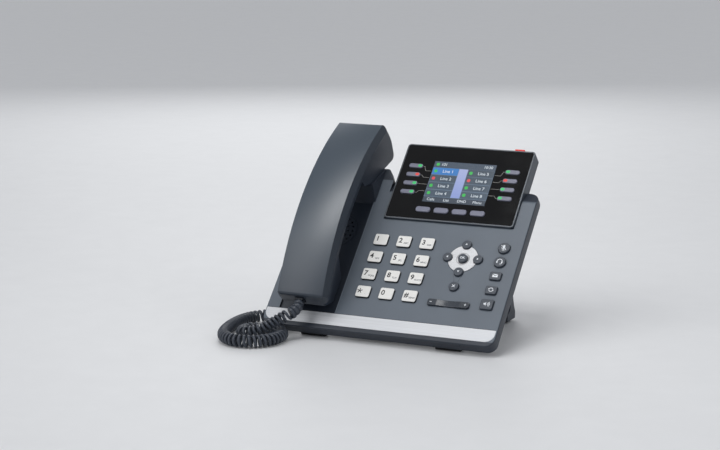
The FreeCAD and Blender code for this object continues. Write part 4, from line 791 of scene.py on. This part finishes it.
# Picture on the screen: a status bar, two columns of rows with a band between them, and labels
STATUS_L = 6.4
LABEL_L = 5.6
BAND_W = 8.2
BAND_LESS = 0.6
COLUMN_W = (SCREEN_W - BAND_W) / 2
ROWS_LOW = SCREEN_LOW + LABEL_L
ROWS_HIGH = SCREEN_HIGH - STATUS_L
ROW_L = (ROWS_HIGH - ROWS_LOW) / len(LED_COLORS)
ROW_GAP_U = 0.6
ROW_GAP_V = 0.5
STATUS_V = SCREEN_HIGH - STATUS_L / 2
LABEL_V = SCREEN_LOW + LABEL_L / 2
STATUS_ICON = (3.0, 3.0, 1.2)
STATUS_ICON_IN = 3.6
ROW_ICON = (3.0, 3.2, 1.3)
ROW_ICON_IN = 3.4
ROW_WORDS_SHIFT = 2.6
ROW_SIZE = 4.2
LABEL_SIZE = 3.7
STATUS_SIZE = 3.8
LABELS = (("Calls", -21.5), ("List", -7.2), ("DND", 7.2), ("Menu", 21.5))
STATUS_WORDS = (("101", SCREEN_LEFT + 9.6), ("10:30", SCREEN_RIGHT - 7.0))
WORDS_LAYER = 3
screen_top = top("screen", SCREEN_U, SCREEN_V)
picture = lit("screen_picture", "#3E5468", "#6E86A0")
band_light = lit("screen_band", "#A9B2DA", "#7F93CF")
bar_dark = lit("screen_bar", "#39495A", "#2A3846")
row_dark = lit("screen_row", "#33424F", "#3D4F60")
row_blue = lit("screen_row_lit", "#2F7CC4", "#1F62A8")
text_white = lit("screen_words", "#DCE6EE")
icon_green = lit("screen_green", "#2FB84B")
icon_red = lit("screen_red", "#D8434B")


def picture_part(name, outlines, layer, material, words=()):
    """Part of the picture, laid on the parts under it."""
    bm = bmesh.new()
    low = screen_top + layer * PICTURE_T
    for outline in outlines:
        prism(bm, outline, low - PICTURE_T, low + PICTURE_T)
    for text, u, v, size in words:
        letters(bm, text, u, v, size, low - PICTURE_T)
    return piece(name, bm, material, "base")


bars = [panel(SCREEN_U, STATUS_V, SCREEN_W, STATUS_L), panel(SCREEN_U, LABEL_V, SCREEN_W, LABEL_L)]
band = panel(SCREEN_U, (ROWS_LOW + ROWS_HIGH) / 2, BAND_W, ROWS_HIGH - ROWS_LOW - BAND_LESS)
plain_rows = []
lit_rows = []
row_words = []
greens = [pill(SCREEN_LEFT + STATUS_ICON_IN, STATUS_V, *STATUS_ICON)]
reds = []
for side in (-1, 1):
    for row, color in enumerate(LED_COLORS):
        u = SCREEN_U + side * (BAND_W + COLUMN_W) / 2
        v = ROWS_HIGH - (row + 0.5) * ROW_L
        number = row + 1 if side < 0 else row + 1 + len(LED_COLORS)
        rows = lit_rows if number == 1 else plain_rows
        rows.append(panel(u, v, COLUMN_W - ROW_GAP_U, ROW_L - ROW_GAP_V))
        icons = greens if color == "green" else reds
        icons.append(pill(u - COLUMN_W / 2 + ROW_ICON_IN, v, *ROW_ICON))
        row_words.append(("Line %d" % number, u + ROW_WORDS_SHIFT, v, ROW_SIZE))
row_words += [(text, SCREEN_U + shift, LABEL_V, LABEL_SIZE) for text, shift in LABELS]
row_words += [(text, u, STATUS_V, STATUS_SIZE) for text, u in STATUS_WORDS]
picture_part("screen_picture", [panel(SCREEN_U, SCREEN_V, SCREEN_W, SCREEN_L)], 0, picture)
picture_part("screen_bars", bars, 1, bar_dark)
picture_part("screen_band", [band], 1, band_light)
picture_part("screen_rows", plain_rows, 1, row_dark)
picture_part("screen_row_lit", lit_rows, 1, row_blue)
picture_part("screen_icons_green", greens, WORDS_LAYER, icon_green)
picture_part("screen_icons_red", reds, WORDS_LAYER, icon_red)
picture_part("screen_words", [], WORDS_LAYER, text_white, row_words)


# Curly cord: the route's spline, the curls round it and the wire's skin
Station = namedtuple("Station", "point tangent normal run angle radius")


def route_points():
    """Points of the route's spline, in millimetres from the handset's plug to the base's."""
    lead = -UP_FACE * LEAD_STEP
    start, end = [FRONT_EDGE + ACROSS * u + UP_FACE * v + OUT * h for u, v, h in (HANDSET_END, BASE_END)]
    shift = Vector((0.0, FRONT_EDGE.y, 0.0))
    poles = [start, start + lead, start + lead * 2]
    poles += [Vector(point) + shift for point in CORD_ROUTE]
    poles += [end + lead * 2, end + lead, end]
    curve = bpy.data.curves.new("cord_route", "CURVE")
    curve.dimensions = "3D"
    curve.resolution_u = ROUTE_RESOLUTION
    spline = curve.splines.new("NURBS")
    spline.points.add(len(poles) - 1)
    for point, pole in zip(spline.points, poles):
        point.co = (*(pole * MM), 1.0)
    spline.order_u = 3
    spline.use_endpoint_u = True
    line = meshed(curve)
    points = [corner.co / MM for corner in line.vertices]
    bpy.data.meshes.remove(line)
    return points


def square_to(direction, normal):
    """The part of a normal that is square to a direction."""
    return (normal - direction * normal.dot(direction)).normalized()


def stations_along(points):
    """The route's points with their directions, their run, and the coil's angle and radius there."""
    coil_r = (COIL_OD - WIRE_D) / 2
    steps = [(b - a).length for a, b in zip(points, points[1:])]
    total = sum(steps)
    count = len(points)
    tangents = [(points[min(i + 1, count - 1)] - points[max(i - 1, 0)]).normalized() for i in range(count)]
    normal = ACROSS
    run = 0.0
    angle = 0.0
    radius = 0.0
    stations = []
    for i, (point, tangent) in enumerate(zip(points, tangents)):
        if i:
            step = steps[i - 1]
            run += step
            bend = (tangent - tangents[i - 1]).length / step
            inside = min(run - COIL_START, total - COIL_END_LEAD - run)
            pitch = max(COIL_PITCH, (WIRE_D + COIL_GAP) / max(1 - coil_r * bend, TIGHT_SHARE))
            if inside < TAPER_RUN:
                pitch = TAPER_PITCH
            if inside > 0:
                angle += 2 * math.pi * step / pitch
            radius = coil_r * smooth(inside / TAPER_RUN)
        normal = square_to(tangent, normal)
        stations.append(Station(point, tangent, normal, run, angle, radius))
    return stations


def curls(points):
    """Points of the wire's middle, each with how far along the route it lies."""
    stations = stations_along(points)
    wire = []
    turn_step = 2 * math.pi / TURN_POINTS
    next_angle = 0.0
    next_run = 0.0
    for a, b in zip(stations, stations[1:]):
        turning = b.angle > a.angle
        while next_run <= b.run or (turning and next_angle <= b.angle):
            share = 0.0
            if turning:
                share = min(max((next_angle - a.angle) / (b.angle - a.angle), 0.0), 1.0)
            here = Station(*[p + (q - p) * share for p, q in zip(a, b)])
            direction = here.tangent.normalized()
            side = square_to(direction, here.normal)
            other = direction.cross(side)
            offset = (side * math.cos(here.angle) + other * math.sin(here.angle)) * here.radius
            wire.append((here.point + offset, here.run))
            next_angle = here.angle + turn_step
            next_run = here.run + STRAIGHT_STEP
            if not turning:
                break
    wire.append((points[-1], stations[-1].run))
    return wire


def ring_round(bm, point, direction, normal, radius, sides):
    """Corners of a circle round a point, square to a direction."""
    other = direction.cross(normal)
    turns = [2 * math.pi * k / sides for k in range(sides)]
    corners = [point + (normal * math.cos(a) + other * math.sin(a)) * radius for a in turns]
    return [bm.verts.new(corner * MM) for corner in corners]


def sleeve(bm, rings):
    """Smooth skin over rings, closed at both ends."""
    sides = len(rings[0])
    for low, high in zip(rings, rings[1:]):
        for k in range(sides):
            j = (k + 1) % sides
            bm.faces.new((low[k], low[j], high[j], high[k])).smooth = True
    bm.faces.new(rings[0][::-1])
    bm.faces.new(rings[-1])


def wire_skin(wire):
    """Round skin along the wire."""
    bm = bmesh.new()
    normal = ACROSS
    rings = []
    last = len(wire) - 1
    for i, (point, run) in enumerate(wire):
        direction = (wire[min(i + 1, last)][0] - wire[max(i - 1, 0)][0]).normalized()
        normal = square_to(direction, normal)
        rings.append(ring_round(bm, point, direction, normal, WIRE_D / 2, WIRE_SIDES))
    sleeve(bm, rings)
    return bm


route = route_points()
wire = curls(route)
skin = bpy.data.meshes.new("curly_cord")
skin_bm = wire_skin(wire)
skin_bm.to_mesh(skin)
skin_bm.free()
skin.materials.append(slots["cord_sheath"])
cord = bpy.data.objects.new("curly_cord", skin)
scene.collection.objects.link(cord)
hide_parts("handset_cord")
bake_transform(cord, "base", "handset", start=wire[-1][0] * MM, end=wire[0][0] * MM)
# The stretch is shared out along the cord's own run, from the handset's plug on
shares = []
for point, run in wire:
    shares += [smooth(1 - run / LIFT_REACH)] * WIRE_SIDES
skin.attributes["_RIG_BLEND"].data.foreach_set("value", shares)


def boot(name, points, length, wide, body):
    """Ribbed sleeve along the first stretch of the cord. Its radius goes from BOOT_R to wide."""
    bm = bmesh.new()
    rings = []
    run = 0.0
    normal = ACROSS
    for point, after in zip(points, points[1:]):
        if run > length:
            break
        direction = (after - point).normalized()
        normal = square_to(direction, normal)
        phase = 2 * (run / COIL_PITCH % 1.0) - 1
        radius = BOOT_R + (wide - BOOT_R) * run / length + BOOT_RIB * math.sqrt(1 - phase * phase)
        rings.append(ring_round(bm, point, direction, normal, radius, BOOT_SIDES))
        run += (after - point).length
    sleeve(bm, rings)
    bmesh.ops.recalc_face_normals(bm, faces=bm.faces[:])
    return piece(name, bm, slots["cord_sheath"], body)


boots = [boot("handset_cord_boot", route, BOOT_COIL_RUN, BOOT_COIL_R, "handset"),
         boot("base_cord_boot", route[::-1], BOOT_RUN, BOOT_R, "base")]

# Floor
FLOOR_HALF = 12.0
floor_shape = bpy.data.meshes.new("floor")
floor_corners = [(-FLOOR_HALF, -FLOOR_HALF, 0.0), (FLOOR_HALF, -FLOOR_HALF, 0.0),
                 (FLOOR_HALF, FLOOR_HALF, 0.0), (-FLOOR_HALF, FLOOR_HALF, 0.0)]
floor_shape.from_pydata(floor_corners, [], [(0, 1, 2, 3)])
floor = bpy.data.objects.new("floor", floor_shape)
floor_shape.materials.append(moulded("floor", "#DFE0E1", 0.6, 60.0, 0.0, 0.01))
scene.collection.objects.link(floor)

# Light: the sky, a broad sun, and soft lights with their place, width, length and watts
SKY_COLOR = (0.93, 0.95, 1.0, 1.0)
SKY_STRENGTH = 0.45
SUN_STRENGTH = 0.9
SUN_BREADTH = math.radians(40)
SUN_TURN = (math.radians(52), 0.0, math.radians(-40))
MIDDLE = Vector((0.0, 0.0, 0.08))
SOFT_LIGHTS = {
    "top_light": ((-0.05, -0.25, 1.2), 0.36, 0.4, 3.5),
    "gloss_light": ((-0.33, -0.49, 1.2), 0.2, 0.46, 5.8),
    "side_light": ((1.3, -0.3, 0.7), 0.5, 0.9, 2.0),
    "back_light": ((-0.7, 1.3, 0.8), 0.9, 0.9, 5.0),
}
world = bpy.data.worlds.new("studio")
scene.world = world
world.use_nodes = True
world.node_tree.nodes["Background"].inputs["Color"].default_value = SKY_COLOR
world.node_tree.nodes["Background"].inputs["Strength"].default_value = SKY_STRENGTH
sun = bpy.data.lights.new("sun", "SUN")
sun.energy = SUN_STRENGTH
sun.angle = SUN_BREADTH
sun_holder = bpy.data.objects.new("sun", sun)
sun_holder.rotation_euler = SUN_TURN
scene.collection.objects.link(sun_holder)


def soft_light(name, place, width, length, watts):
    """Soft light at a place, turned to the middle of the phone."""
    lamp = bpy.data.lights.new(name, "AREA")
    lamp.shape = "RECTANGLE"
    lamp.size = width
    lamp.size_y = length
    lamp.energy = watts
    holder = bpy.data.objects.new(name, lamp)
    holder.location = place
    holder.rotation_euler = (MIDDLE - Vector(place)).to_track_quat("-Z", "Y").to_euler()
    scene.collection.objects.link(holder)
    return holder


lamps = {name: soft_light(name, *light) for name, light in SOFT_LIGHTS.items()}
# The gloss light falls on the handset alone
receivers = bpy.data.collections.new("gloss_light_receivers")
receivers.objects.link(nodes["handset_outer_shell"])
lamps["gloss_light"].light_linking.receiver_collection = receivers

# Camera at the photograph's place
CAMERA_PLACE = (0.6344, -1.4706, 0.3939)
CAMERA_RIGHT = Vector((0.90796, 0.41906, 0.0))
CAMERA_UP = Vector((-0.07796, 0.16891, 0.98254))
CAMERA_SENSOR = 36.0
CAMERA_LENS = 95.0
camera_data = bpy.data.cameras.new("camera")
camera_data.sensor_width = CAMERA_SENSOR
camera_data.lens = CAMERA_LENS
camera = bpy.data.objects.new("camera", camera_data)
turn = Matrix((CAMERA_RIGHT, CAMERA_UP, CAMERA_RIGHT.cross(CAMERA_UP))).transposed()
camera.rotation_euler = turn.to_euler()
camera.location = CAMERA_PLACE
scene.collection.objects.link(camera)
scene.camera = camera
